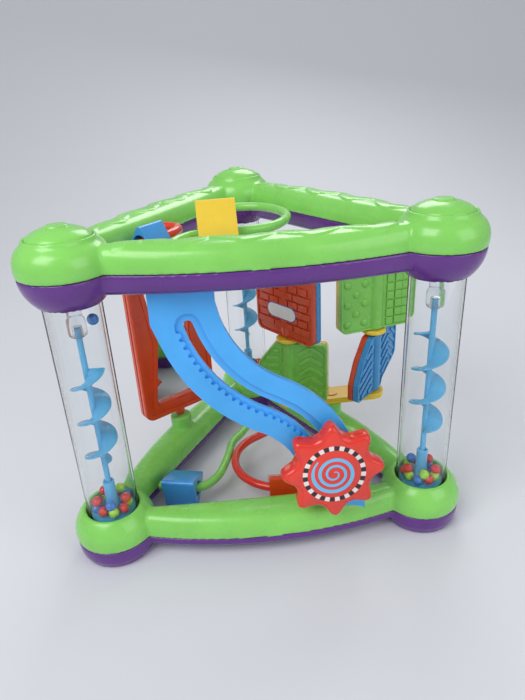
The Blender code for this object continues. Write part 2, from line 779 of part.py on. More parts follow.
def make_mirror():
    axis = empty("mirror_axis", (*MIRROR_XY, 0), MIRROR_TURN)
    red = material("mirror_red", RED, 0.25)
    half = MIRROR_THICK / 2
    spans = {"mirror_frame_front": (PART_GAP / 2, half), "mirror_frame_back": (-half, -PART_GAP / 2)}
    window = tool("mirror_window", upright(plate(window_outline(), -20 * MM, 20 * MM)), axis)
    sheet_cut = upright(plate(window_outline(4 * MM), -SHEET_THICK / 2 - PART_GAP, SHEET_THICK / 2 + PART_GAP))
    sheet_tool = tool("mirror_recess", sheet_cut, axis)
    pins = merged(
        rod(PIN_R, LOW_BOSS_TOP - PIN_LENGTH, MIRROR_LOW + 5 * MM, 14),
        rod(PIN_R, MIRROR_HIGH - 5 * MM, MIRROR_HIGH + 2 * MM + PIN_LENGTH, 14),
    )
    balls = merged(
        rod(4.6 * MM, LOW_BOSS_TOP + 1.5 * MM, MIRROR_LOW + 3 * MM, 14),
        rod(4.6 * MM, MIRROR_HIGH - 3 * MM, MIRROR_HIGH + 1 * MM, 14),
    )
    pin_tool = tool("mirror_pins", pins, axis)
    ball_tool = tool("mirror_pin_collars", balls, axis)
    for name, span in spans.items():
        frame = add(name, upright(plate(mirror_outline(), *span)), red, axis)
        cut(frame, window, sheet_tool)
        if name.endswith("front"):
            join(frame, pin_tool, ball_tool)
        else:
            room = merged(
                rod(5 * MM, 0, MIRROR_LOW + 5.5 * MM, 14),
                rod(5 * MM, MIRROR_HIGH - 5.5 * MM, MIRROR_HIGH + 20 * MM, 14),
            )
            cut(frame, tool("mirror_pin_room", room, axis))
    sheet = upright(plate(window_outline(3.7 * MM), -SHEET_THICK / 2, SHEET_THICK / 2))
    add("mirror_sheet", sheet, material("mirror_silver", SILVER, 0.03, 1.0), axis)


# ---------------------------------------------------------------- flipper carousel
def bar(name, span, look, parent, shaft_side, pin_from, pin_to):
    """A bar that carries both shafts and turns on a pin at its middle."""
    low, high = span
    outline = []
    for centre, start in ((SHAFT_OUT, -90), (-SHAFT_OUT, 90)):
        for i in range(7):
            angle = math.radians(start + 180 * i / 6)
            outline.append((centre + BAR_END_R * math.cos(angle), BAR_END_R * math.sin(angle)))
    piece = add(name, plate(outline, low, high), look, parent)
    for side in (-1, 1):
        hole = rod(SHAFT_R + PART_GAP, *shaft_side, 14, (side * SHAFT_OUT, 0))
        cut(piece, tool(f"{name}_hole_{side + 1}", hole, parent))
    join(piece, tool(f"{name}_pin", rod(PIN_R, pin_from, pin_to, 14), parent))
    join(piece, tool(f"{name}_collar", rod(6 * MM, low - 1 * MM, high + 1 * MM, 14), parent))
    return piece


def flipper_outline(name, span):
    """Upper flippers are rounded oblongs; lower ones swell into a lobe at the low left."""
    low, high = span
    if name.startswith("upper"):
        return rounded([(-WING, low), (WING, low), (WING, high), (-WING, high)], 6 * MM, 2)
    lobe = [(-12 * MM, high, 8 * MM), (-28 * MM, high - 20 * MM, 18 * MM), (-WING, low + 18 * MM, 10 * MM)]
    lobe.append((-WING, low, 4 * MM))
    if name.endswith("left"):
        wing = [(WING, low, 4 * MM), (WING, high, 4 * MM)]
    else:
        wing = [(8.5 * MM, low, 2 * MM), (11 * MM, low + 7 * MM, 3 * MM)]
        wing += [(WING, low + 26 * MM, 8 * MM), (WING, high, 4 * MM)]
    return rounded(wing + lobe, 4 * MM, 2)


def make_flipper(name, span, carousel, side, front, back):
    """Two shells clipped together round a shaft, each with half of the hinge tube."""
    axis = empty(f"flipper_axis_{name}", (side * SHAFT_OUT, 0, 0), 0, carousel)
    axis.rotation_euler = (0, 0, math.radians(FLIPPER_TURN[name]) - CAROUSEL_TURN)
    low, high = span
    outline = flipper_outline(name, span)
    centre = Vector((0, (low + high) / 2))
    inner = [tuple(centre + (Vector(p) - centre) * 0.90) for p in outline]
    bore = tool(f"flipper_bore_{name}", rod(SHAFT_R + 0.5 * MM, low - 5 * MM, high + 5 * MM, 14), axis)
    for label, look, way in (("front", front, 1), ("back", back, -1)):
        faces = sorted((way * PART_GAP / 2, way * FLIPPER_HALF))
        shell = add(f"flipper_{name}_{label}", upright(plate(outline, *faces)), look, axis)
        tube = half_tube(low, high, HINGE_TUBE_R, way)
        join(shell, tool(f"flipper_tube_{name}_{label}", tube, axis))
        depth = sorted((0, way * (FLIPPER_HALF - WALL)))
        room = upright(plate(inner, *depth))
        ribs = tool(f"flipper_room_{name}_{label}", room, axis)
        cut(ribs, tool(f"flipper_core_{name}_{label}", rod(5.5 * MM, low - 5 * MM, high + 5 * MM, 14), axis))
        cut(shell, ribs, bore)


def half_tube(low, high, radius, way):
    """Half a round bar on one side of the parting plane."""
    outline = []
    for i in range(7):
        angle = math.pi * i / 6
        outline.append((radius * math.cos(angle), -way * (radius * math.sin(angle) + PART_GAP / 2)))
    return plate(outline, low, high)


def make_carousel():
    carousel = empty("carousel_axis", (*CAROUSEL_XY, 0), CAROUSEL_TURN)
    yellow = material("yellow_plastic", YELLOW, 0.25)
    red = material("brick_red", RED, 0.25)
    blue = material("flipper_blue", DEEP_BLUE, 0.25)
    green = material("green_plastic", GREEN, 0.22)
    steel = material("steel", (0.55, 0.55, 0.56), 0.35, 1.0)
    low_pin = (LOW_BOSS_TOP - PIN_LENGTH, LOW_BAR[0] + MM)
    high_pin = (HIGH_BAR[1] - MM, HIGH_BAR[1] + 2 * MM + PIN_LENGTH)
    bar("carousel_lower_bar", LOW_BAR, yellow, carousel, (LOW_BAR[0] + 2 * MM, LOW_BAR[1] + MM), *low_pin)
    bar("carousel_upper_bar", HIGH_BAR, yellow, carousel, (HIGH_BAR[0] - MM, HIGH_BAR[1] - 2 * MM), *high_pin)
    for side, label in ((-1, "left"), (1, "right")):
        spot = (side * SHAFT_OUT, 0)
        shaft = rod(SHAFT_R, LOW_BAR[0] + 2 * MM + PART_GAP, HIGH_BAR[1] - 2 * MM - PART_GAP, 12, spot)
        add(f"carousel_shaft_{label}", shaft, steel, carousel)
        ring_r = SHAFT_R + PART_GAP
        profile = [
            (ring_r, COLLAR[0]),
            (9.5 * MM, COLLAR[0]),
            (11.5 * MM, COLLAR[0] + 1.5 * MM),
            (11.5 * MM, COLLAR[1] - 1 * MM),
            (10.5 * MM, COLLAR[1]),
            (ring_r, COLLAR[1]),
        ]
        add(f"carousel_collar_{label}", turned(profile, 16, spot), yellow, carousel)
    make_flipper("upper_left", HIGH_FLIPPER, carousel, -1, red, blue)
    make_flipper("lower_left", LOW_FLIPPER, carousel, -1, green, yellow)
    make_flipper("upper_right", HIGH_FLIPPER, carousel, 1, green, yellow)
    make_flipper("lower_right", LOW_FLIPPER, carousel, 1, blue, red)


# ---------------------------------------------------------------- bead mazes
def ahead(x, y):
    """A place given from the middle of the front side."""
    return Vector((x * MM, FRONT_Y + y * MM))


def smooth_route(points, steps=4):
    """A Catmull-Rom curve through the route's points."""
    rows = [points[0] * 2 - points[1], *points, points[-1] * 2 - points[-2]]
    route = []
    for a, b, c, d in zip(rows, rows[1:], rows[2:], rows[3:]):
        for i in range(steps):
            t = i / steps
            spot = b * 2 + (c - a) * t + (a * 2 - b * 5 + c * 4 - d) * t * t
            spot += (b * 3 - a - c * 3 + d) * t * t * t
            route.append(spot / 2)
    return [*route, points[-1]]


def arc_route(centre, radius, first, last, steps):
    """Points on an arc between two compass angles in degrees."""
    points = []
    for i in range(steps + 1):
        angle = math.radians(first + (last - first) * i / steps)
        points.append(centre + Vector((math.cos(angle), math.sin(angle))) * radius)
    return points


def maze_tube(name, route, level, look, sides=6):
    """A round bar bent along a level route."""
    loops = []
    for i, spot in enumerate(route):
        run = (route[min(i + 1, len(route) - 1)] - route[max(i - 1, 0)]).normalized()
        loop = []
        for k in range(sides):
            angle = 2 * math.pi * k / sides
            across = MAZE_TUBE_R * math.cos(angle)
            loop.append((spot.x + run.y * across, spot.y - run.x * across, level + MAZE_TUBE_R * math.sin(angle)))
        loops.append(loop)
    return add(name, loft(loops), look)


def maze_bead(name, centre, level, aim, roll, side, length, look):
    """A three-sided prism with a bore, threaded on a tube that runs along its axis."""
    axis = empty(name + "_axis", (*centre, level), math.radians(aim))
    reach = side / math.sqrt(3)
    corners = []
    for i in range(3):
        angle = math.radians(90 + roll + 120 * i)
        corners.append((reach * math.cos(angle), reach * math.sin(angle)))
    outline = rounded(corners, 1.2 * MM, 2)
    loops = [[(run, y, z) for y, z in outline] for run in (-length / 2, length / 2)]
    bead = add(name, loft(loops), look, axis)
    bore = rod(MAZE_BORE_R, -length, length, 20)
    bore.transform(Matrix.Rotation(math.pi / 2, 4, "Y"))
    cut(bead, tool(name + "_bore", bore, axis))


TOP_LEVEL = TOP_Z + MAZE_RISE
LOW_LEVEL = BOTTOM_Z + MAZE_RISE
RED_ARC_CENTRE = ahead(17, 64)
RED_ARC_R = 42.5 * MM


def make_mazes():
    green = material("green_plastic", GREEN, 0.22)
    red = material("tube_red", RED, 0.25)
    blue = material("flipper_blue", DEEP_BLUE, 0.25)
    top_green = [ahead(-60, 6.5), ahead(-60, 22), ahead(-55, 40), ahead(-46, 52), ahead(-38, 56)]
    top_green += [ahead(-24.5, 57.5), ahead(-10, 58.3), ahead(3, 59.5), ahead(19, 68)]
    top_green += [ahead(30, 86), ahead(34, 107), ahead(29, 128), ahead(17, 145)]
    top_green += [ahead(0, 152), ahead(-17, 151), ahead(-30, 151)]
    maze_tube("top_maze_tube_green", smooth_route(top_green, 2), TOP_LEVEL, green)
    maze_bead("top_bead_yellow", ahead(-24.5, 57.5), TOP_LEVEL, 3, 0, 48 * MM, 29 * MM,
              material("yellow_plastic", YELLOW, 0.25))

    top_red = [ahead(-86, 6.5), ahead(-85, 20), ahead(-81, 36), ahead(-73, 49), ahead(-63, 60)]
    top_red += [ahead(-56, 73), ahead(-55, 83), ahead(-60, 88.7), ahead(-66, 92.2)]
    maze_tube("top_maze_tube_red", smooth_route(top_red, 2), TOP_LEVEL, red)
    maze_bead("top_bead_blue", ahead(-73, 49), TOP_LEVEL, 53, 0, 26 * MM, 24 * MM, blue)

    low_green = [ahead(-93, 41.4), ahead(-85, 39.2), ahead(-73, 36), ahead(-59, 33.5), ahead(-49, 38)]
    low_green += [ahead(-41, 48), ahead(-36, 61), ahead(-31, 78)]
    low_green += [ahead(-26, 98), ahead(-16, 113), ahead(-9, 130), ahead(-13, 147)]
    low_green += [ahead(-25, 159)]
    maze_tube("bottom_maze_tube_green", smooth_route(low_green, 2), LOW_LEVEL, green)
    maze_bead("bottom_bead_blue", ahead(-73, 36), LOW_LEVEL, -14, 40, 36 * MM, 28 * MM, blue)

    low_red = arc_route(RED_ARC_CENTRE, RED_ARC_R, 120, 292, 14)
    low_red = [ahead(28, 122), ahead(13, 112), *low_red, ahead(52, 20), ahead(60, 7)]
    maze_tube("bottom_maze_tube_red", low_red, LOW_LEVEL, red)
    aim = 268
    spot = RED_ARC_CENTRE + RED_ARC_R * Vector((math.cos(math.radians(aim)), math.sin(math.radians(aim))))
    maze_bead("bottom_bead_orange", spot, LOW_LEVEL, aim - 270, 25, 38 * MM, 28 * MM,
              material("orange_plastic", ORANGE, 0.25))


def main():
    clear_scene()
    plane = panel_frame()
    make_rings(make_panel(plane))
    make_caps()
    make_foot_screws()
    for corner in CORNERS:
        make_column(corner)
    make_wheel(plane)
    make_mirror()
    make_carousel()
    make_mazes()


main()
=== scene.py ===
"""The look of the three-sided baby activity toy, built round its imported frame.

Lengths in lists are millimetres, turned to metres by MM or mm(). Every piece rides on a body of the frame and
replaces the solids that it stands for; the small, hidden or simple ones are kept and given soft edges.
"""

import json
import math

import bmesh
import bpy
from mathutils import Matrix, Vector


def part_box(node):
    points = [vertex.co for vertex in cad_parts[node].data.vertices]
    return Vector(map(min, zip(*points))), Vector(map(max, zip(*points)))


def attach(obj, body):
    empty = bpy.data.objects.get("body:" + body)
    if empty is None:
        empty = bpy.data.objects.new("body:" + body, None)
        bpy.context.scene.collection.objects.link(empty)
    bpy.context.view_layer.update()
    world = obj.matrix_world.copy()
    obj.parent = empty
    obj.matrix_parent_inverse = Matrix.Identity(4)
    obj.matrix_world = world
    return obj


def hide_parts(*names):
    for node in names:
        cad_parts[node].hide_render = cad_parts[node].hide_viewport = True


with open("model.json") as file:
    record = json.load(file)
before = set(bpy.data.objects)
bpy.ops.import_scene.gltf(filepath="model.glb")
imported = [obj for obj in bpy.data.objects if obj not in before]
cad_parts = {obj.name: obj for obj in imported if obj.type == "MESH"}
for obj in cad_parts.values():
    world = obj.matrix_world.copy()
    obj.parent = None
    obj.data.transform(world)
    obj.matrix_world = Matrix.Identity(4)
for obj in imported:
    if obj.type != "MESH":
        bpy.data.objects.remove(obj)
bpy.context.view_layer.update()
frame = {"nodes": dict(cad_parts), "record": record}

MM = 0.001
JOINTS = {joint["name"]: joint for joint in frame["record"]["behaviour"]["joints"]}
CORNER_NAMES = ("left", "right", "back")


def middle(node):
    low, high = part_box(node)
    return (Vector(low) + Vector(high)) / 2


CORNERS = {name: middle(f"column_tube_{name}").xy for name in CORNER_NAMES}
SIDES = (("left", "right"), ("right", "back"), ("back", "left"))
BOTTOM_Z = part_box("bottom_lower_shell")[1][2]
TOP_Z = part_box("top_lower_shell")[1][2]
BASE_TOP = BOTTOM_Z + 20 * MM  # the disc that the loose beads lie on
FRONT_Y = CORNERS["left"].y
SPACING = CORNERS["right"].x - CORNERS["left"].x

# a rail between two pods, across and along the line that joins their axes
RAIL_START = 23 * MM
RAIL_OUT_END = 15.5  # outer edge at the rail's ends
RAIL_BOW = 15  # how much farther out it is at mid span
RAIL_IN = 4
TUBE_R = 19.7
WING = 37 * MM  # flipper, from its shaft to its edge
HINGE_R = 7.5
STAR_BACK = 6
STAR_FRONT = 19
LABEL_FACE = 19.55
PRINT_FACE = 19.68
MAZE_TUBE_R = 3.7 * MM
BEAD_BORE_R = 6.4 * MM


# ---------------------------------------------------------------- materials
def node(tree, kind, **inputs):
    """A shader node with some of its inputs set."""
    made = tree.nodes.new(kind)
    for key, value in inputs.items():
        made.inputs[key.replace("_", " ")].default_value = value
    return made


def plastic(name, colour, rough=0.24, bump=0.05, subsurface=0.0):
    """Moulded plastic: faint cloudiness in the colour, uneven gloss from handling and a fine grain."""
    grain, vary, coat = 900.0, 0.06, 0.25
    made = bpy.data.materials.new(name)
    made.use_nodes = True
    made.diffuse_color = (*colour, 1)
    tree = made.node_tree
    shader = tree.nodes["Principled BSDF"]
    place = node(tree, "ShaderNodeTexCoord")
    cloud = node(tree, "ShaderNodeTexNoise", Scale=22.0, Detail=3.0, Roughness=0.6)
    tree.links.new(place.outputs["Object"], cloud.inputs["Vector"])
    ramp = tree.nodes.new("ShaderNodeValToRGB")
    dark = [channel * (1 - vary) for channel in colour]
    pale = [min(1, channel * (1 + vary) + 0.004) for channel in colour]
    ramp.color_ramp.elements[0].color = (*dark, 1)
    ramp.color_ramp.elements[0].position = 0.35
    ramp.color_ramp.elements[1].color = (*pale, 1)
    ramp.color_ramp.elements[1].position = 0.65
    tree.links.new(cloud.outputs["Fac"], ramp.inputs["Fac"])
    tree.links.new(ramp.outputs["Color"], shader.inputs["Base Color"])
    smear = node(tree, "ShaderNodeTexNoise", Scale=60.0, Detail=4.0)
    tree.links.new(place.outputs["Object"], smear.inputs["Vector"])
    gloss = tree.nodes.new("ShaderNodeMapRange")
    gloss.inputs["To Min"].default_value = rough * 0.75
    gloss.inputs["To Max"].default_value = rough * 1.35
    tree.links.new(smear.outputs["Fac"], gloss.inputs["Value"])
    tree.links.new(gloss.outputs["Result"], shader.inputs["Roughness"])
    fine = node(tree, "ShaderNodeTexNoise", Scale=grain, Detail=2.0)
    tree.links.new(place.outputs["Object"], fine.inputs["Vector"])
    lift = node(tree, "ShaderNodeBump", Strength=bump, Distance=0.0003)
    tree.links.new(fine.outputs["Fac"], lift.inputs["Height"])
    tree.links.new(lift.outputs["Normal"], shader.inputs["Normal"])
    shader.inputs["Coat Weight"].default_value = coat
    shader.inputs["Coat Roughness"].default_value = 0.12
    shader.inputs["Subsurface Weight"].default_value = subsurface
    shader.inputs["Subsurface Scale"].default_value = 0.002
    return made


def clear_plastic(name, tint, ior=1.03, rough=0.01):
    """Polished clear plastic with faint rub marks."""
    made = bpy.data.materials.new(name)
    made.use_nodes = True
    made.diffuse_color = (*tint, 0.3)
    tree = made.node_tree
    shader = tree.nodes["Principled BSDF"]
    shader.inputs["Base Color"].default_value = (*tint, 1)
    shader.inputs["Transmission Weight"].default_value = 1.0
    shader.inputs["IOR"].default_value = ior
    shader.inputs["Coat Weight"].default_value = 0.7
    shader.inputs["Coat Roughness"].default_value = 0.03
    place = node(tree, "ShaderNodeTexCoord")
    rub = node(tree, "ShaderNodeTexNoise", Scale=45.0, Detail=5.0)
    tree.links.new(place.outputs["Object"], rub.inputs["Vector"])
    gloss = tree.nodes.new("ShaderNodeMapRange")
    gloss.inputs["To Min"].default_value = rough
    gloss.inputs["To Max"].default_value = rough + 0.06
    tree.links.new(rub.outputs["Fac"], gloss.inputs["Value"])
    tree.links.new(gloss.outputs["Result"], shader.inputs["Roughness"])
    return made


def metal(name, colour, rough, streak):
    """Metal or mirror film with wipe marks in its gloss."""
    made = bpy.data.materials.new(name)
    made.use_nodes = True
    made.diffuse_color = (*colour, 1)
    tree = made.node_tree
    shader = tree.nodes["Principled BSDF"]
    shader.inputs["Base Color"].default_value = (*colour, 1)
    shader.inputs["Metallic"].default_value = 1.0
    place = node(tree, "ShaderNodeTexCoord")
    wipe = node(tree, "ShaderNodeTexNoise", Scale=35.0, Detail=4.0)
    tree.links.new(place.outputs["Object"], wipe.inputs["Vector"])
    gloss = tree.nodes.new("ShaderNodeMapRange")
    gloss.inputs["To Min"].default_value = rough
    gloss.inputs["To Max"].default_value = rough + streak
    tree.links.new(wipe.outputs["Fac"], gloss.inputs["Value"])
    tree.links.new(gloss.outputs["Result"], shader.inputs["Roughness"])
    return made


LOOKS = {
    "green_plastic": plastic("green_plastic", (0.235, 0.66, 0.115), 0.26, subsurface=0.08),
    "purple_plastic": plastic("purple_plastic", (0.115, 0.022, 0.235), 0.24),
    "sky_plastic": plastic("sky_plastic", (0.06, 0.41, 0.92), 0.34, 0.10),
    "auger_blue": plastic("auger_blue", (0.10, 0.45, 0.76), 0.26),
    "deep_blue_plastic": plastic("deep_blue_plastic", (0.03, 0.27, 0.60), 0.25),
    "red_plastic": plastic("red_plastic", (0.78, 0.035, 0.018), 0.22),
    "red_orange_plastic": plastic("red_orange_plastic", (0.74, 0.062, 0.008), 0.24),
    "yellow_plastic": plastic("yellow_plastic", (0.88, 0.60, 0.04), 0.28, subsurface=0.05),
    "bead_blue": plastic("bead_blue", (0.05, 0.32, 0.80), 0.22),
    "brick_red": plastic("brick_red", (0.62, 0.06, 0.008), 0.26),
    "flipper_green": plastic("flipper_green", (0.20, 0.57, 0.08), 0.26, subsurface=0.05),
    "lime_bead": plastic("lime_bead", (0.42, 0.75, 0.05), 0.18),
    "red_bead": plastic("red_bead", (0.72, 0.02, 0.02), 0.18),
    "blue_bead": plastic("blue_bead", (0.03, 0.20, 0.62), 0.18),
    "label_print": plastic("label_print", (0.80, 0.045, 0.025), 0.34, 0.02),
    "print_black": plastic("print_black", (0.012, 0.012, 0.014), 0.4, 0.02),
    "print_white": plastic("print_white", (0.82, 0.82, 0.80), 0.4, 0.02),
    "print_blue": plastic("print_blue", (0.05, 0.10, 0.42), 0.4, 0.02),
    "print_sky": plastic("print_sky", (0.16, 0.52, 0.86), 0.4, 0.02),
    "clear_plastic": clear_plastic("clear_plastic", (0.97, 0.985, 0.99)),
    "frosted_plastic": clear_plastic("frosted_plastic", (0.90, 0.93, 0.95), 1.3, 0.22),
    "mirror_film": metal("mirror_film", (0.86, 0.88, 0.90), 0.015, 0.03),
    "steel": metal("steel", (0.55, 0.55, 0.56), 0.28, 0.12),
}


# ---------------------------------------------------------------- mesh tools
def finish_piece(name, bm, look, body, nodes=(), bevel=0.0, matrix=None, segments=2, sharp=35):
    """Turn a bmesh into a piece that rides on a body and stands for its CAD nodes."""
    if matrix is not None:
        bm.transform(matrix)
    bmesh.ops.recalc_face_normals(bm, faces=bm.faces)
    mesh = bpy.data.meshes.new(name)
    bm.to_mesh(mesh)
    bm.free()
    return finish_mesh(name, mesh, look, body, nodes, bevel, segments, sharp)


def finish_mesh(name, mesh, look, body, nodes=(), bevel=0.0, segments=2, sharp=35):
    """Link a mesh as a piece, with its look, soft edges, body, replaced nodes and material slot."""
    mesh.shade_smooth()
    mesh.set_sharp_from_angle(angle=math.radians(sharp))
    mesh.materials.append(LOOKS[look])
    obj = bpy.data.objects.new(name, mesh)
    bpy.context.scene.collection.objects.link(obj)
    if bevel:
        step = obj.modifiers.new("Bevel", "BEVEL")
        step.width = bevel
        step.segments = segments
        step.limit_method = "ANGLE"
        step.angle_limit = math.radians(35)
        step.harden_normals = False
    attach(obj, body)
    if nodes:
        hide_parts(*nodes)
    return obj


def loft(loops, bm=None):
    """Skin between loops of equal length, capped at both ends."""
    bm = bm or bmesh.new()
    rows = [[bm.verts.new(point) for point in loop] for loop in loops]
    count = len(rows[0])
    for low, high in zip(rows, rows[1:]):
        for i in range(count):
            j = (i + 1) % count
            bm.faces.new((low[i], low[j], high[j], high[i]))
    bm.faces.new(rows[0][::-1])
    bm.faces.new(rows[-1])
    return bm


def turned(profile, segments=96, centre=(0, 0), bm=None):
    """Turn a closed profile of (radius, height) about a vertical axis."""
    bm = bm or bmesh.new()
    rows = []
    for radius, height in profile:
        if radius == 0:
            rows.append([bm.verts.new((centre[0], centre[1], height))] * segments)
            continue
        row = []
        for i in range(segments):
            angle = 2 * math.pi * i / segments
            x = centre[0] + radius * math.cos(angle)
            y = centre[1] + radius * math.sin(angle)
            row.append(bm.verts.new((x, y, height)))
        rows.append(row)
    for low, high in zip(rows, rows[1:] + rows[:1]):
        for i in range(segments):
            j = (i + 1) % segments
            corners = list(dict.fromkeys((low[i], low[j], high[j], high[i])))
            if len(corners) > 2:
                bm.faces.new(corners)
    return bm


def mm(rows, base=0.0):
    """A profile in millimetres turned to metres and raised by a base height."""
    return [(radius * MM, base + height * MM) for radius, height in rows]


def plate(outline, low, high, bm=None):
    """Extrude a flat outline between two heights."""
    return loft([[(x, y, low) for x, y in outline], [(x, y, high) for x, y in outline]], bm=bm)


def rounded(corners, radius, steps=8):
    """A polygon with rounded corners; a corner that is a triple has its own radius."""
    points = []
    count = len(corners)
    for i, corner in enumerate(corners):
        here = Vector(corner[:2])
        size = corner[2] if len(corner) > 2 else radius
        before = (Vector(corners[i - 1][:2]) - here).normalized()
        after = (Vector(corners[(i + 1) % count][:2]) - here).normalized()
        half = before.angle(after) / 2
        spot = here + (before + after).normalized() * size / math.sin(half)
        start = here + before * size / math.tan(half) - spot
        end = here + after * size / math.tan(half) - spot
        sweep = start.angle_signed(end)
        for step in range(steps + 1):
            points.append(tuple(spot + Matrix.Rotation(-sweep * step / steps, 2) @ start))
    return points


def upright(bm):
    """Stand a plate up: its y becomes height, and its thickness points to the front."""
    bm.transform(Matrix.Rotation(math.pi / 2, 4, "X"))
    return bm


def smooth_curve(values, steps):
    """Catmull-Rom through a list of vectors."""
    rows = [values[0] * 2 - values[1], *values, values[-1] * 2 - values[-2]]
    out = []
    for a, b, c, d in zip(rows, rows[1:], rows[2:], rows[3:]):
        for i in range(steps):
            t = i / steps
            spot = b * 2 + (c - a) * t + (a * 2 - b * 5 + c * 4 - d) * t * t
            spot += (b * 3 - a - c * 3 + d) * t * t * t
            out.append(spot / 2)
    return [*out, values[-1]]


def smooth_profile(rows, steps=4):
    return [tuple(v) for v in smooth_curve([Vector(row) for row in rows], steps)]


# ---------------------------------------------------------------- ring frames
def rail_spine(side):
    """Where a side starts, its direction, and the direction out of the triangle."""
    start, end = (CORNERS[name] for name in side)
    along = (end - start).normalized()
    return start, along, Vector((along.y, -along.x))


def rail(bm, side, height, power):
    """A bowed rail from its parting line at height 0 up or down to its crest."""
    start, along, outward = rail_spine(side)
    loops = []
    stations, steps = 40, 22
    for i in range(stations + 1):
        share = i / stations
        run = RAIL_START + (SPACING - 2 * RAIL_START) * share
        bow = 1 - (2 * share - 1) ** 2
        outer = (RAIL_OUT_END + RAIL_BOW * bow) * MM
        inner = -RAIL_IN * MM
        loop = []
        for k in range(steps + 1):
            angle = math.pi * k / steps
            side_step = math.copysign(abs(math.cos(angle)) ** power, math.cos(angle))
            spot = start + along * run + outward * ((outer + inner) / 2 + side_step * (outer - inner) / 2)
            loop.append((spot.x, spot.y, math.sin(angle) ** power * height))
        loops.append(loop)
    loft(loops, bm=bm)


# a pod's half sections as (radius, height from the parting line)
POD_PROFILES = {
    "top_upper": (
        (31, 0), (31.6, 5.5), (30.9, 11), (28.6, 16), (25.4, 19.2), (23.6, 20.8), (23.3, 22.4), (23.2, 24)
    ),
    "top_lower": ((31, 0), (30.3, -5), (28.6, -10.5), (25.8, -15.5), (22.8, -19.2), (21.2, -21)),
    "bottom_upper": ((31, 0), (31.6, 6), (30.7, 12), (28.2, 17.5), (24.8, 22), (22.6, 24)),
    "bottom_lower": ((31, 0), (30.8, -5), (29.9, -11.2), (28.9, -11.9), (28.2, -15.1), (26.8, -16.9)),
}


def leaf_relief(x, y):
    """How far, from 0 to 1, a rail's crest stands proud: overlapping slanted leaves along each side."""
    clear_of_pod, pitch, lean, offset = 34 * MM, 21 * MM, 24, 1.5
    length, width = 14.5 * MM, 5.2 * MM
    best = 0.0
    for side in SIDES:
        start, along, outward = rail_spine(side)
        here = Vector((x, y)) - start
        run = here.dot(along)
        out = here.dot(outward)
        if not clear_of_pod < run < SPACING - clear_of_pod:
            continue
        share = (run - RAIL_START) / (SPACING - 2 * RAIL_START)
        centre = (RAIL_OUT_END + RAIL_BOW * (1 - (2 * share - 1) ** 2) - RAIL_IN) / 2 * MM
        for k in range(-4, 5):
            spot = SPACING / 2 + k * pitch
            tilt = math.radians(lean if k % 2 else -lean)
            dx, dy = run - spot, out - centre + (offset if k % 2 else -offset) * MM
            u = dx * math.cos(tilt) + dy * math.sin(tilt)
            v = -dx * math.sin(tilt) + dy * math.cos(tilt)
            depth = 1 - math.sqrt((u / length) ** 2 + (v / width) ** 2)
            best = max(best, min(1, max(0, depth * 9)))
    return best


def ring_half(name, kind, level, height, power, look):
    """One moulded half of a ring: rails, pods and stems melted into one skin, with leaves on the top one."""
    bm = bmesh.new()
    for side in SIDES:
        rail(bm, side, height, power)
    rows = smooth_profile(POD_PROFILES[kind], 4)
    hole = 21.5 if kind == "top_upper" else 20.4
    profile = mm([(hole, rows[0][1])] + [tuple(row) for row in rows] + [(hole, rows[-1][1])])
    for spot in CORNERS.values():
        turned(profile, 96, spot, bm)
    if kind == "top_upper":
        for spot in CORNERS.values():
            turned(mm([(0, 1), (22.5, 1), (22.5, 20.6), (0, 20.6)]), 64, spot, bm)
    for joint, top in bosses(kind):
        low, high = sorted((height * 0.5, top - level))
        stem = [(0, low), (10 * MM, low), (10 * MM, high), (0, high)]
        turned(stem, 40, JOINTS[joint]["pos_m"][:2], bm)
    bmesh.ops.recalc_face_normals(bm, faces=bm.faces)
    source = bpy.data.meshes.new(name + "_source")
    bm.to_mesh(source)
    bm.free()
    temp = bpy.data.objects.new(name + "_source", source)
    bpy.context.scene.collection.objects.link(temp)
    grid = temp.modifiers.new("Remesh", "REMESH")
    grid.mode = "VOXEL"
    grid.voxel_size = 1.05 * MM
    soft = temp.modifiers.new("Smooth", "SMOOTH")
    soft.factor = 0.5
    soft.iterations = 9
    graph = bpy.context.evaluated_depsgraph_get()
    mesh = bpy.data.meshes.new_from_object(temp.evaluated_get(graph))
    bpy.data.objects.remove(temp, do_unlink=True)
    leaves, relief_from, relief = kind == "top_upper", 9 * MM, 1.0 * MM
    for vert in mesh.vertices:
        if leaves and vert.co.z > relief_from:
            fade = min(1, (vert.co.z - relief_from) / (4 * MM))
            vert.co.z += relief * leaf_relief(vert.co.x, vert.co.y) * fade
        vert.co.z += level
    mesh.materials.clear()
    return finish_mesh(name, mesh, look, "frame", (kind + "_shell",), sharp=180)


def bosses(kind):
    """The stems that hold the turning pieces: (joint, far end) for the two shells that carry them."""
    if kind == "bottom_upper":
        return (("mirror_spin", BOTTOM_Z + 31.5 * MM), ("carousel_spin", BOTTOM_Z + 31.5 * MM))
    if kind == "top_lower":
        return (("mirror_spin", BOTTOM_Z + 191 * MM), ("carousel_spin", BOTTOM_Z + 176 * MM))
    return ()


ring_half("top_ring_green", "top_upper", TOP_Z + 0.1 * MM, 17.6 * MM, 0.72, "green_plastic")
ring_half("top_ring_purple", "top_lower", TOP_Z - 0.1 * MM, -15 * MM, 0.62, "purple_plastic")
ring_half("bottom_ring_green", "bottom_upper", BOTTOM_Z + 0.1 * MM, 18.3 * MM, 0.72, "green_plastic")
ring_half("bottom_ring_purple", "bottom_lower", BOTTOM_Z - 0.1 * MM, -8.5 * MM, 0.5, "purple_plastic")

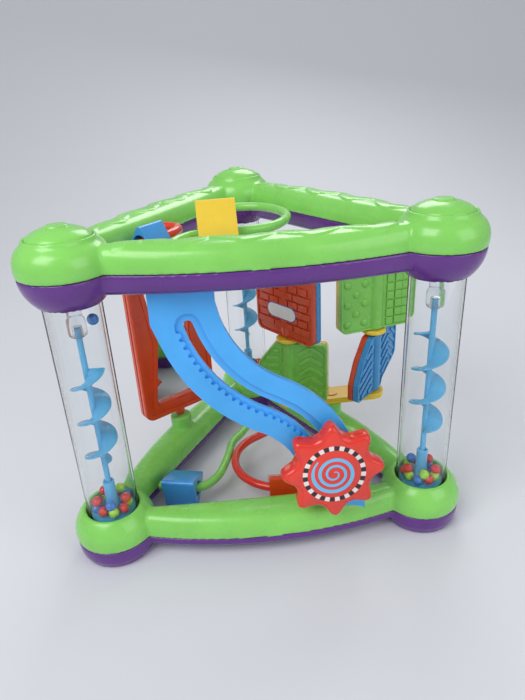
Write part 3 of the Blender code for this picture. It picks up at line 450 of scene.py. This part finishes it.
for name, spot in CORNERS.items():
    rows = [(0, -1), (20.9, -1), (20.9, 1.2), (20.5, 2.1), (17.5, 4.3), (12.5, 6.5), (8.2, 7.4)]
    rows += [(7.6, 7.5), (7.2, 8.2), (6.6, 8.8), (0, 9.2)]
    finish_piece(f"cap_{name}", turned(mm(rows, TOP_Z + 21.8 * MM), 72, spot), "green_plastic", "frame",
                 (f"corner_cap_{name}",), bevel=0.3 * MM)


# ---------------------------------------------------------------- columns
BALL_R = 4 * MM


def ball(bm, centre):
    """One loose bead."""
    place = Matrix.Translation(centre)
    bmesh.ops.create_uvsphere(bm, u_segments=20, v_segments=12, radius=BALL_R, matrix=place)


BEAD_COLOURS = "red blue red lime red lime blue red lime red red blue red lime".split()
LOWER_LAYER = 9  # how many of them lie on the disc; the rest lie on those
BLADE_TURNS = 2.85
BLADE_PITCH = 28.7


def blade_loops(start_angle, start_height):
    """Sections of an auger's blade, narrow where it starts and full width from there on."""
    loops, steps = [], 150
    for i in range(steps + 1):
        share = i / steps
        angle = math.radians(start_angle) + 2 * math.pi * BLADE_TURNS * share
        rise = BOTTOM_Z + (start_height + BLADE_PITCH * BLADE_TURNS * share) * MM
        reach = (7 + 6.4 * min(1, (share / 0.06) ** 0.5)) * MM
        aim = Vector((math.cos(angle), math.sin(angle)))
        section = [(1.0 * MM, 0.9), (reach - 0.6 * MM, 0.8), (reach, 0.35)]
        loop = [(aim.x * radius, aim.y * radius, rise - half * MM) for radius, half in section]
        loop += [(aim.x * radius, aim.y * radius, rise + half * MM) for radius, half in section[::-1]]
        loops.append(loop)
    return loops


def column(name, start_angle, start_height):
    """A clear tube with its base, its upper socket, its auger and its loose beads."""
    spot = CORNERS[name]
    bore = TUBE_R - 2
    tube = [(TUBE_R, 1), (TUBE_R, 209), (19.4, 209.5), (17.9, 209.5), (bore, 209), (bore, 1)]
    finish_piece(f"tube_{name}", turned(mm(tube, BOTTOM_Z), 96, spot), "clear_plastic", "frame",
                 (f"column_tube_{name}",))
    base = [(0, 10), (0, 41), (2.6, 41), (2.6, 46), (3.2, 46.4), (3.9, 46.3), (4.4, 45.6), (4.4, 37)]
    base += [(4.8, 30), (5.6, 24), (7.4, 21.2), (10, 20.2), (17, 20), (17.3, 19.6), (17.3, 1)]
    base += [(4, 1), (4, 10)]
    finish_piece(f"base_{name}", turned(mm(base, BOTTOM_Z), 64, spot), "auger_blue", "frame",
                 (f"column_base_{name}",))
    cup = [(0, 209), (0, 176), (2.6, 176), (2.6, 169), (3.4, 168.2), (5, 168.4), (6.2, 169.6), (6.6, 171.5)]
    cup += [(6.6, 179), (6.2, 181), (5.2, 182.4), (5.1, 196.5), (6, 197.5), (17.2, 197.5), (17.2, 209)]
    finish_piece(f"socket_{name}", turned(mm(cup, BOTTOM_Z), 64, spot), "frosted_plastic", "frame",
                 (f"column_socket_{name}",))
    bm = turned(mm([(0, 42), (2.2, 42), (2.2, 175), (0, 175)], BOTTOM_Z), 24)
    loft(blade_loops(start_angle, start_height), bm=bm)
    finish_piece(f"screw_blade_{name}", bm, "auger_blue", f"auger_{name}_body", (f"auger_{name}",),
                 matrix=Matrix.Translation((*spot, 0)), sharp=50)
    heaps = {colour: bmesh.new() for colour in ("red", "lime", "blue")}
    for i, colour in enumerate(BEAD_COLOURS):
        lower = i < LOWER_LAYER
        angle = math.radians(start_angle * 3 + (i * 40.0 if lower else i * 74.0 + 20))
        radius = (13.2 - 0.8 * ((i * 7) % 3)) * MM if lower else 11.6 * MM
        height = BASE_TOP + (4.1 if lower else 9.6) * MM + 0.3 * ((i * 5) % 4) * MM
        ball(heaps[colour], (spot.x + radius * math.cos(angle), spot.y + radius * math.sin(angle), height))
    if name == "left":  # a stray one, stuck beside the socket
        ball(heaps["blue"], (spot.x + 12.2 * MM, spot.y - 3 * MM, BOTTOM_Z + 181 * MM))
    for colour, bm in heaps.items():
        finish_piece(f"beads_{name}_{colour}", bm, f"{colour}_bead", "frame", (f"column_beads_{name}",),
                     sharp=80)


for name, start_angle, start_height in (("left", 54, 60.5), ("right", 240, 67), ("back", 60, 62)):
    column(name, start_angle, start_height)

# ---------------------------------------------------------------- pieces kept from the CAD, with soft edges
for name, look, width in (
    ("slide_panel", "sky_plastic", 0.3),
    ("wheel_axle", "sky_plastic", 0.2),
    ("wheel_pinion", "red_plastic", 0.3),
    ("wheel_screw", "steel", 0.2),
    ("mirror_sheet", "mirror_film", 0.0),
    ("carousel_shaft_left", "steel", 0.2),
    ("carousel_shaft_right", "steel", 0.2),
    ("carousel_lower_bar", "yellow_plastic", 0.8),
    ("carousel_upper_bar", "yellow_plastic", 0.8),
    ("carousel_collar_left", "yellow_plastic", 0.3),
    ("carousel_collar_right", "yellow_plastic", 0.3),
    *((f"foot_screw_{corner}", "steel", 0.1) for corner in CORNER_NAMES),
):
    kept = frame["nodes"][name]
    kept.data.materials.clear()
    kept.data.materials.append(LOOKS[look])
    if width:
        step = kept.modifiers.new("Bevel", "BEVEL")
        step.width = width * MM
        step.segments = 2
        step.limit_method = "ANGLE"
        step.angle_limit = math.radians(40)

# ---------------------------------------------------------------- star wheel
TILT = math.radians(86)
WHEEL = Matrix.Translation(JOINTS["wheel_spin"]["pos_m"]) @ Matrix.Rotation(TILT, 4, "X")


def star(inset, count=192):
    """The star's wavy outline, smaller by an inset."""
    points = []
    for i in range(count):
        angle = 2 * math.pi * i / count
        turn = angle - math.radians(91.5)
        radius = 33.4 + 4.2 * math.cos(8 * turn) + 0.8 * math.cos(16 * turn) - inset
        points.append((radius * MM * math.cos(angle), radius * MM * math.sin(angle)))
    return points


levels = [(STAR_BACK, 2.2), (6.6, 1.0), (7.6, 0.2), (8.7, 0), (15.1, 0), (16.5, 0.35), (17.7, 1.1), (18.6, 2.2)]
levels.append((STAR_FRONT, 3.5))
loops = [[(x, y, z * MM) for x, y in star(inset)] for z, inset in levels]
finish_piece("star_wheel_body", loft(loops), "red_plastic", "wheel", ("star_wheel",), matrix=WHEEL, sharp=50)
levels = [(STAR_FRONT, 4.2), (LABEL_FACE - 0.1, 4.2), (LABEL_FACE, 4.4)]
loops = [[(x, y, z * MM) for x, y in star(inset)] for z, inset in levels]
finish_piece("star_label", loft(loops), "label_print", "wheel", ("wheel_label",), matrix=WHEEL, sharp=50)


def arc_patch(bm, inner, outer, first, last, low, high, steps=6):
    """A thin patch between two radii and two angles."""
    angles = [first + (last - first) * i / steps for i in range(steps + 1)]
    outline = [(outer * MM * math.cos(angle), outer * MM * math.sin(angle)) for angle in angles]
    outline += [(inner * MM * math.cos(angle), inner * MM * math.sin(angle)) for angle in angles[::-1]]
    plate(outline, low * MM, high * MM, bm)


for kind, offset in (("black", 0), ("white", 1)):
    bm = bmesh.new()
    for k in range(18):
        first = math.radians(20 * k + 10 * offset + 0.4)
        arc_patch(bm, 19.8, 23.3, first, first + math.radians(9.2), LABEL_FACE, PRINT_FACE)
    finish_piece(f"dash_ring_{kind}", bm, f"print_{kind}", "wheel", ("wheel_label",),
                 matrix=WHEEL)
loops = []
for i in range(121):  # a spiral that widens as it winds outwards
    share = i / 120
    angle = math.radians(100) - share * 2 * math.pi * 2.9
    radius = 1.6 + 14.9 * share
    half = 0.3 + 1.25 * share ** 0.6 * min(1, (1 - share) * 12 + 0.25)
    aim = Vector((math.cos(angle), math.sin(angle)))
    far, near = aim * (radius + half) * MM, aim * (radius - half) * MM
    low, high = LABEL_FACE * MM, PRINT_FACE * MM
    loops.append([(far.x, far.y, low), (far.x, far.y, high), (near.x, near.y, high), (near.x, near.y, low)])
bm = loft(loops)
finish_piece("spiral_print", bm, "print_sky", "wheel", ("wheel_label",), matrix=WHEEL)

# ---------------------------------------------------------------- mirror
MIRROR = Matrix.Translation((*JOINTS["mirror_spin"]["pos_m"][:2], 0))
MIRROR = MIRROR @ Matrix.Rotation(math.radians(34), 4, "Z")
M_LOW = BOTTOM_Z + 39 * MM
M_HIGH = BOTTOM_Z + 189 * MM


def oblong(half, low, high, radius):
    """A rounded oblong, taller than wide."""
    return rounded([(-half, low), (half, low), (half, high), (-half, high)], radius, 8)


def window(grow):
    """The mirror's window, pinched at mid height."""
    low, high = M_LOW + 14 * MM - grow, M_HIGH - 14 * MM + grow
    wide, slim = 25 * MM + grow, 15.5 * MM + grow
    mid = (low + high) / 2
    corners = [(-wide, low), (wide, low), (slim, mid, 30 * MM)]
    corners += [(wide, high), (-wide, high), (-slim, mid, 30 * MM)]
    return rounded(corners, 4 * MM, 7)


def framed(bm, outer, inner, low, high):
    """A flat plate between an outer and an inner outline, whose counts may differ."""
    edges = []
    for outline in (outer, inner):
        verts = [bm.verts.new((x, y, low)) for x, y in outline]
        edges += [bm.edges.new((a, b)) for a, b in zip(verts, verts[1:] + verts[:1])]
    filled = bmesh.ops.triangle_fill(bm, use_beauty=True, use_dissolve=False, edges=edges)
    faces = [item for item in filled["geom"] if isinstance(item, bmesh.types.BMFace)]
    raised = bmesh.ops.extrude_face_region(bm, geom=faces)
    verts = [item for item in raised["geom"] if isinstance(item, bmesh.types.BMVert)]
    bmesh.ops.translate(bm, verts=verts, vec=(0, 0, high - low))


for label, way in (("front", 1), ("back", -1)):
    bm = bmesh.new()
    framed(bm, oblong(38 * MM, M_LOW, M_HIGH, 8 * MM), window(0), 0.9 * MM, 4.4 * MM)
    framed(bm, oblong(37.6 * MM, M_LOW + 0.4 * MM, M_HIGH - 0.4 * MM, 7.6 * MM),
           oblong(33.6 * MM, M_LOW + 4.4 * MM, M_HIGH - 4.4 * MM, 4.6 * MM), 4.2 * MM, 5.9 * MM)
    framed(bm, window(5.2 * MM), window(1.2 * MM), 4.2 * MM, 5.6 * MM)
    if way < 0:
        bm.transform(Matrix.Scale(-1, 4, (0, 0, 1)))
    finish_piece(f"mirror_surround_{label}", upright(bm), "red_orange_plastic", "mirror",
                 (f"mirror_frame_{label}",), bevel=0.5 * MM, matrix=MIRROR)
low_pin = [(0, 27), (2.8, 27), (2.8, 31.8), (4.2, 33.2), (4.6, 35.2), (4.2, 37.2), (3, 38.4), (3, 43), (0, 43)]
high_pin = [(0, -4), (4, -4), (4, 1), (2.8, 1.6), (2.8, 8), (0, 8)]
bm = turned(mm(low_pin, BOTTOM_Z), 32)
turned(mm(high_pin, M_HIGH), 32, bm=bm)
finish_piece("mirror_pins", bm, "red_orange_plastic", "mirror", ("mirror_frame_front",), matrix=MIRROR)


# ---------------------------------------------------------------- flippers
def inside(point, outline, margin):
    """Whether a point is inside an outline and at least a margin from its edge."""
    x, y = point
    hit = False
    for (x0, y0), (x1, y1) in zip(outline, outline[1:] + outline[:1]):
        if (y0 > y) != (y1 > y) and x < (x1 - x0) * (y - y0) / (y1 - y0) + x0:
            hit = not hit
        edge = Vector((x1 - x0, y1 - y0))
        share = max(0, min(1, Vector((x - x0, y - y0)).dot(edge) / max(edge.length_squared, 1e-12)))
        if (Vector((x0, y0)) + edge * share - Vector(point)).length < margin:
            return False
    return hit


def bar_on(bm, x, z, length, width, angle, low, high):
    """A small straight rib with rounded ends lying on the face."""
    aim = Vector((math.cos(angle), math.sin(angle)))
    side = Vector((-aim.y, aim.x))
    ends = []
    for sign in (1, -1):
        for k in range(7):
            turn = math.pi * (k / 6 - 0.5)
            spot = aim * sign * (length / 2 - width / 2 + width / 2 * math.cos(turn))
            spot += side * sign * width / 2 * math.sin(turn)
            ends.append((x + spot.x, z + spot.y))
    plate(ends, low, high, bm)


# patterns of slanted ribs: spacing up the wing, width of a rib, and its slant in degrees
SLANTED = {"ribs": (8.2, 4.2, 32), "chevrons": (10.2, 4.2, 36), "herringbone": (9, 3.6, 42)}


def pattern(kind, left, right, low):
    """Raised marks on one wing: (x, z, length, width, angle), or (x, z, radius) for a stud."""
    marks = []
    middle_x = (left + right) / 2
    if kind == "bricks":
        for row in range(8):
            for k in range(-3, 4):
                marks.append((k * 12.5 + (6.25 if row % 2 else 0), low + 4.5 + row * 7.4, 11.2, 6.2, 0))
    elif kind == "studs":
        for across in range(3):
            for row in range(4):
                rise = low + 8.5 + 19 * row + (9.5 if across == 1 else 0)
                marks.append((middle_x + (across - 1) * 8.6, rise, 3.9))
    elif kind == "grid":
        for across in range(3):
            for row in range(7):
                marks.append((middle_x + (across - 1) * 8.4, low + 6 + 8.4 * row, 7.2, 7.1, 0))
    elif kind == "ridges":
        for row in range(8):
            marks.append((middle_x, low + 5 + row * 7.6, 28, 4.4, 0))
    else:
        step, width, lean = SLANTED[kind]
        for row in range(-3, 12):
            rise = low + row * step
            if kind == "ribs":
                marks.append((middle_x, rise, 34, width, math.radians(lean)))
            else:
                quarter = (right - left) / 4
                reach = quarter * 2 / math.cos(math.radians(lean))
                marks.append((middle_x - quarter, rise, reach, width, math.radians(lean)))
                marks.append((middle_x + quarter, rise, reach, width, -math.radians(lean)))
    return marks


def trimmed(mark, left, right, outline):
    """The longest stretch of a rib that lies on its wing and inside an outline, or None."""
    x, z, length, width, angle = mark
    aim = Vector((math.cos(angle), math.sin(angle)))
    best, run = (), []
    for k in range(61):
        reach = (k / 60 - 0.5) * length
        spot = Vector((x, z)) + aim * reach
        if left <= spot.x <= right and inside(tuple(spot * MM), outline, width * 0.5 * MM):
            run.append(reach)
            best = max(best, tuple(run), key=len)
        else:
            run = []
    if not best:
        return None
    spot = Vector((x, z)) + aim * (best[0] + best[-1]) / 2
    size = min(length, best[-1] - best[0] + width * 0.9)
    return (spot.x, spot.y, size, width, angle) if size > width * 0.95 else None


def flipper_outline(name, low, high):
    """Upper flippers are rounded oblongs; lower ones swell into a lobe at the low left."""
    wing = WING
    if name.startswith("upper"):
        return rounded([(-wing, low), (wing, low), (wing, high), (-wing, high)], 6 * MM, 8)
    lobe = [(-12 * MM, high, 8 * MM), (-28 * MM, high - 20 * MM, 18 * MM), (-wing, low + 18 * MM, 10 * MM)]
    lobe.append((-wing, low, 4 * MM))
    if name.endswith("left"):
        edge = [(wing, low, 4 * MM), (wing, high, 4 * MM)]
    else:
        edge = [(8.5 * MM, low, 2 * MM), (11 * MM, low + 7 * MM, 3 * MM)]
        edge += [(wing, low + 26 * MM, 8 * MM), (wing, high, 4 * MM)]
    return rounded(edge + lobe, 4 * MM, 8)


def add_all(bm, part):
    """Take another bmesh's shapes in."""
    mesh = bpy.data.meshes.new("part")
    part.to_mesh(mesh)
    part.free()
    bm.from_mesh(mesh)
    bpy.data.meshes.remove(mesh)


FACE, RAISED = 4.3 * MM, 5.75 * MM  # how far a flipper's face and the marks on it stand off its middle


def add_mark(bm, kind, mark, left, right, outline):
    """Raise one mark on a flipper's face, if it fits there."""
    if len(mark) == 3:
        if inside((mark[0] * MM, mark[1] * MM), outline, 4.2 * MM):
            rows = [(0, 4.3), (mark[2], 4.3), (mark[2] * 0.9, 5.0), (mark[2] * 0.6, 5.8), (0, 6)]
            turned(mm(rows), 20, (mark[0] * MM, mark[1] * MM), bm)
        return
    piece = trimmed(mark, left, right, outline)
    if not piece:
        return
    x, z, length, width, angle = piece
    if kind in ("bricks", "grid"):
        size = [(-length / 2, -width / 2), (length / 2, -width / 2)]
        size += [(length / 2, width / 2), (-length / 2, width / 2)]
        plate([((x + a) * MM, (z + b) * MM) for a, b in size], FACE, RAISED, bm)
    else:
        bar_on(bm, x * MM, z * MM, length * MM, width * MM, angle, FACE, RAISED)


def flipper(name, turn, marks, front, back):
    """Two shells clipped round a shaft, with a different pattern on each wing, or bricks right across."""
    spot = JOINTS[f"flipper_spin_{name}"]["pos_m"]
    place = Matrix.Translation((spot[0], spot[1], 0)) @ Matrix.Rotation(math.radians(turn), 4, "Z")
    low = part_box(f"flipper_{name}_front")[0][2]
    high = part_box(f"flipper_{name}_front")[1][2]
    outline = flipper_outline(name, low, high)
    centre = Vector((0, (low + high) / 2))
    inset = [tuple(centre + (Vector(p) - centre) * 0.94) for p in outline]
    for label, colours, way in (("front", front, 1), ("back", back, -1)):
        look, slot = colours
        bm = bmesh.new()
        plate(outline, 0.15 * MM, 4.4 * MM, bm)
        rim = bmesh.new()
        framed(rim, outline, inset, FACE, 5.7 * MM)
        add_all(bm, rim)
        flat = marks == ("bricks",)
        wings = [(-34.5, 34.5)] if flat else [(-33.5, -9.5), (9.5, 33.5)]
        for (left, right), kind in zip(wings, marks):
            for mark in pattern(kind, left, right, low / MM):
                add_mark(bm, kind, mark, left, right, inset)
        tube = []
        for i in range(17):
            angle = math.pi * i / 16
            height = (5.4 if flat else 7.4) * math.sin(angle) + 0.15
            tube.append((HINGE_R * MM * math.cos(angle), height * MM))
        half = plate(tube, low, high)
        half.transform(Matrix(((1, 0, 0, 0), (0, 0, 1, 0), (0, 1, 0, 0), (0, 0, 0, 1))))
        add_all(bm, half)
        if way < 0:
            bm.transform(Matrix.Scale(-1, 4, (0, 0, 1)))
        upright(bm)
        finish_piece(f"flip_{name}_{label}", bm, look, f"flipper_{name}", (f"flipper_{name}_{label}",),
                     bevel=0.45 * MM, matrix=place)
    return place, low


GREEN_SHELL = ("flipper_green", "green_plastic")
YELLOW_SHELL = ("yellow_plastic", "yellow_plastic")
RED_SHELL = ("brick_red", "red_orange_plastic")
BLUE_SHELL = ("deep_blue_plastic", "deep_blue_plastic")
place, low = flipper("upper_left", -55, ("bricks",), RED_SHELL, BLUE_SHELL)
flipper("lower_left", -20, ("ridges", "chevrons"), GREEN_SHELL, YELLOW_SHELL)
flipper("upper_right", 14, ("studs", "grid"), GREEN_SHELL, YELLOW_SHELL)
flipper("lower_right", 46, ("ribs", "herringbone"), BLUE_SHELL, RED_SHELL)

# a plain oval label with no words on it
LABEL_HALF = (19, 7)
LABEL_AT = (-2 * MM, 24.5 * MM)  # from the shaft, and above the flipper's lower edge
for name, look, shrink, face in (
    ("oval_label_rim", "print_blue", 0.0, 5.95), ("oval_label", "print_white", 0.8, 6.0)
):
    wide, tall = LABEL_HALF
    corners = [(-wide, -tall), (wide, -tall), (wide, tall), (-wide, tall)]
    shape = rounded([(x * MM, z * MM) for x, z in corners], 6.8 * MM, 10)
    across, up_scale = 1 - shrink / wide, 1 - shrink / tall
    shape = [(x * across + LABEL_AT[0], z * up_scale + low + LABEL_AT[1]) for x, z in shape]
    bm = upright(plate(shape, 5.6 * MM, face * MM))
    finish_piece(name, bm, look, "flipper_upper_left", ("flipper_upper_left_front",),
                 matrix=place)


# ---------------------------------------------------------------- bead mazes
def ahead(x, y):
    """A place in millimetres from the middle of the front side."""
    return Vector((x * MM, FRONT_Y + y * MM))


def round_tube(name, route, level, look, node_name):
    """A round bar bent along a level route."""
    loops = []
    for i, spot in enumerate(route):
        run = (route[min(i + 1, len(route) - 1)] - route[max(i - 1, 0)]).normalized()
        loop = []
        for k in range(24):
            angle = 2 * math.pi * k / 24
            across, rise = MAZE_TUBE_R * math.cos(angle), MAZE_TUBE_R * math.sin(angle)
            loop.append((spot.x + run.y * across, spot.y - run.x * across, level + rise))
        loops.append(loop)
    finish_piece(name, loft(loops), look, "frame", (node_name,))


def prism(name, centre, level, aim, roll, side, length, look, body, node_name):
    """A three-sided bead with a bore along its axis."""
    reach = side / math.sqrt(3)
    corners = []
    for i in range(3):
        angle = math.radians(90 + roll + 120 * i)
        corners.append((reach * math.cos(angle), reach * math.sin(angle)))
    outline = rounded([(x * MM, y * MM) for x, y in corners], 2.4 * MM, 6)
    angles = [2 * math.pi * k / 32 for k in range(32)]
    inner = [(BEAD_BORE_R * math.cos(angle), BEAD_BORE_R * math.sin(angle)) for angle in angles]
    bm = bmesh.new()
    framed(bm, outline, inner, -length / 2 * MM, length / 2 * MM)
    turn = Matrix(((0, 0, 1, 0), (1, 0, 0, 0), (0, 1, 0, 0), (0, 0, 0, 1)))
    place = Matrix.Translation((*centre, level)) @ Matrix.Rotation(math.radians(aim), 4, "Z") @ turn
    finish_piece(name, bm, look, body, (node_name,), bevel=0.8 * MM, matrix=place, segments=3)


TOP_LEVEL = TOP_Z + 4.5 * MM
LOW_LEVEL = BOTTOM_Z + 4.5 * MM
top_green = [(-60, 6.5), (-60, 22), (-55, 40), (-46, 52), (-38, 56), (-24.5, 57.5), (-10, 58.3), (3, 59.5)]
top_green += [(19, 68), (30, 86), (34, 107), (29, 128), (17, 145), (0, 152), (-17, 151), (-30, 151)]
round_tube("top_loop_green", smooth_curve([ahead(*p) for p in top_green], 10), TOP_LEVEL, "green_plastic",
           "top_maze_tube_green")
top_red = [(-86, 6.5), (-85, 20), (-81, 36), (-73, 49), (-63, 60), (-56, 73), (-55, 83), (-60, 88.7)]
top_red.append((-66, 92.2))
round_tube("top_loop_red", smooth_curve([ahead(*p) for p in top_red], 10), TOP_LEVEL, "red_plastic",
           "top_maze_tube_red")
low_green = [(-93, 41.4), (-85, 39.2), (-73, 36), (-59, 33.5), (-49, 38), (-41, 48), (-36, 61), (-31, 78)]
low_green += [(-26, 98), (-16, 113), (-9, 130), (-13, 147), (-25, 159)]
round_tube("bottom_loop_green", smooth_curve([ahead(*p) for p in low_green], 10), LOW_LEVEL, "green_plastic",
           "bottom_maze_tube_green")


def on_red_arc(degrees):
    """A place on the lower red tube's round part."""
    angle = math.radians(degrees)
    return ahead(17, 64) + 42.5 * MM * Vector((math.cos(angle), math.sin(angle)))


arc = [on_red_arc(120 + 172 * i / 60) for i in range(61)]
low_red = [ahead(28, 122), ahead(13, 112), *arc, ahead(52, 20), ahead(60, 7)]
round_tube("bottom_loop_red", low_red, LOW_LEVEL, "red_plastic", "bottom_maze_tube_red")
prism("bead_yellow", ahead(-24.5, 57.5), TOP_LEVEL, 3, 0, 47.5, 29, "yellow_plastic", "top_bead_yellow_body",
      "top_bead_yellow")
prism("bead_blue_top", ahead(-73, 49), TOP_LEVEL, 53, 0, 25.5, 24, "bead_blue", "top_bead_blue_body",
      "top_bead_blue")
prism("bead_blue_low", ahead(-73, 36), LOW_LEVEL, -14, 40, 35.5, 28, "bead_blue", "bottom_bead_blue_body",
      "bottom_bead_blue")
prism("bead_orange", on_red_arc(268), LOW_LEVEL, -2, 25, 37.5, 28, "red_orange_plastic",
      "bottom_bead_orange_body", "bottom_bead_orange")


# ---------------------------------------------------------------- floor, light and camera
def stage_material(name, colour):
    """A plain dull surface."""
    made = bpy.data.materials.new(name)
    made.use_nodes = True
    shader = made.node_tree.nodes["Principled BSDF"]
    shader.inputs["Base Color"].default_value = (*colour, 1)
    shader.inputs["Roughness"].default_value = 0.85
    return made


# a paper sweep: level floor, a quarter-round bend and an upright back
SWEEP_START, SWEEP_R, SWEEP_HALF = 0.6, 1.2, 4
section = [(-3 + i * 0.45, 0) for i in range(8)]
for i in range(12):
    angle = math.radians(90 * i / 12)
    section.append((SWEEP_START + SWEEP_R * math.sin(angle), SWEEP_R - SWEEP_R * math.cos(angle)))
section += [(SWEEP_START + SWEEP_R, SWEEP_R + i * 0.5) for i in range(1, 6)]
bm = bmesh.new()
rows = [[bm.verts.new((x, y, z)) for x in (-SWEEP_HALF, SWEEP_HALF)] for y, z in section]
for a, b in zip(rows, rows[1:]):
    bm.faces.new((a[0], a[1], b[1], b[0]))
mesh = bpy.data.meshes.new("floor")
bm.to_mesh(mesh)
bm.free()
mesh.shade_smooth()
mesh.materials.append(stage_material("floor_paper", (0.70, 0.72, 0.77)))
floor = bpy.data.objects.new("floor", mesh)
bpy.context.scene.collection.objects.link(floor)

world = bpy.data.worlds.new("studio")
bpy.context.scene.world = world
world.use_nodes = True
world.node_tree.nodes["Background"].inputs["Color"].default_value = (1, 1, 1, 1)
world.node_tree.nodes["Background"].inputs["Strength"].default_value = 0.5


def area_light(name, place, target, size, power):
    """A square lamp that faces a target."""
    lamp = bpy.data.lights.new(name, "AREA")
    lamp.size = size
    lamp.energy = power
    obj = bpy.data.objects.new(name, lamp)
    obj.location = place
    obj.rotation_euler = (Vector(target) - Vector(place)).to_track_quat("-Z", "Y").to_euler()
    bpy.context.scene.collection.objects.link(obj)


area_light("key", (-0.7, -0.7, 1.1), (0, 0, 0.12), 0.8, 9.5)
area_light("fill", (0.9, -0.9, 0.7), (0, 0, 0.12), 0.9, 4)
area_light("rim", (0.3, 0.9, 1.0), (0, 0, 0.15), 0.6, 4.5)

# the camera, as solved from the corner pods and parting lines
yaw, pitch, roll = math.radians(4.27), math.radians(25.18), math.radians(-3.10)
CAMERA_AT = (-0.0269, FRONT_Y - 0.3644, BOTTOM_Z + 0.318)
ahead_way = Vector((math.sin(yaw) * math.cos(pitch), math.cos(yaw) * math.cos(pitch), -math.sin(pitch)))
level_right = Vector((math.cos(yaw), -math.sin(yaw), 0))
level_up = level_right.cross(ahead_way)
right = level_right * math.cos(roll) + level_up * math.sin(roll)
up = level_up * math.cos(roll) - level_right * math.sin(roll)
lens = bpy.data.cameras.new("camera")
lens.lens = 29.03
lens.sensor_width = 36
lens.clip_start = 0.01
camera = bpy.data.objects.new("camera", lens)
turn = Matrix((right, up, -ahead_way)).transposed().to_4x4()
camera.matrix_world = Matrix.Translation(CAMERA_AT) @ turn
bpy.context.scene.collection.objects.link(camera)
bpy.context.scene.camera = camera
bpy.context.scene.view_settings.view_transform = "Standard"
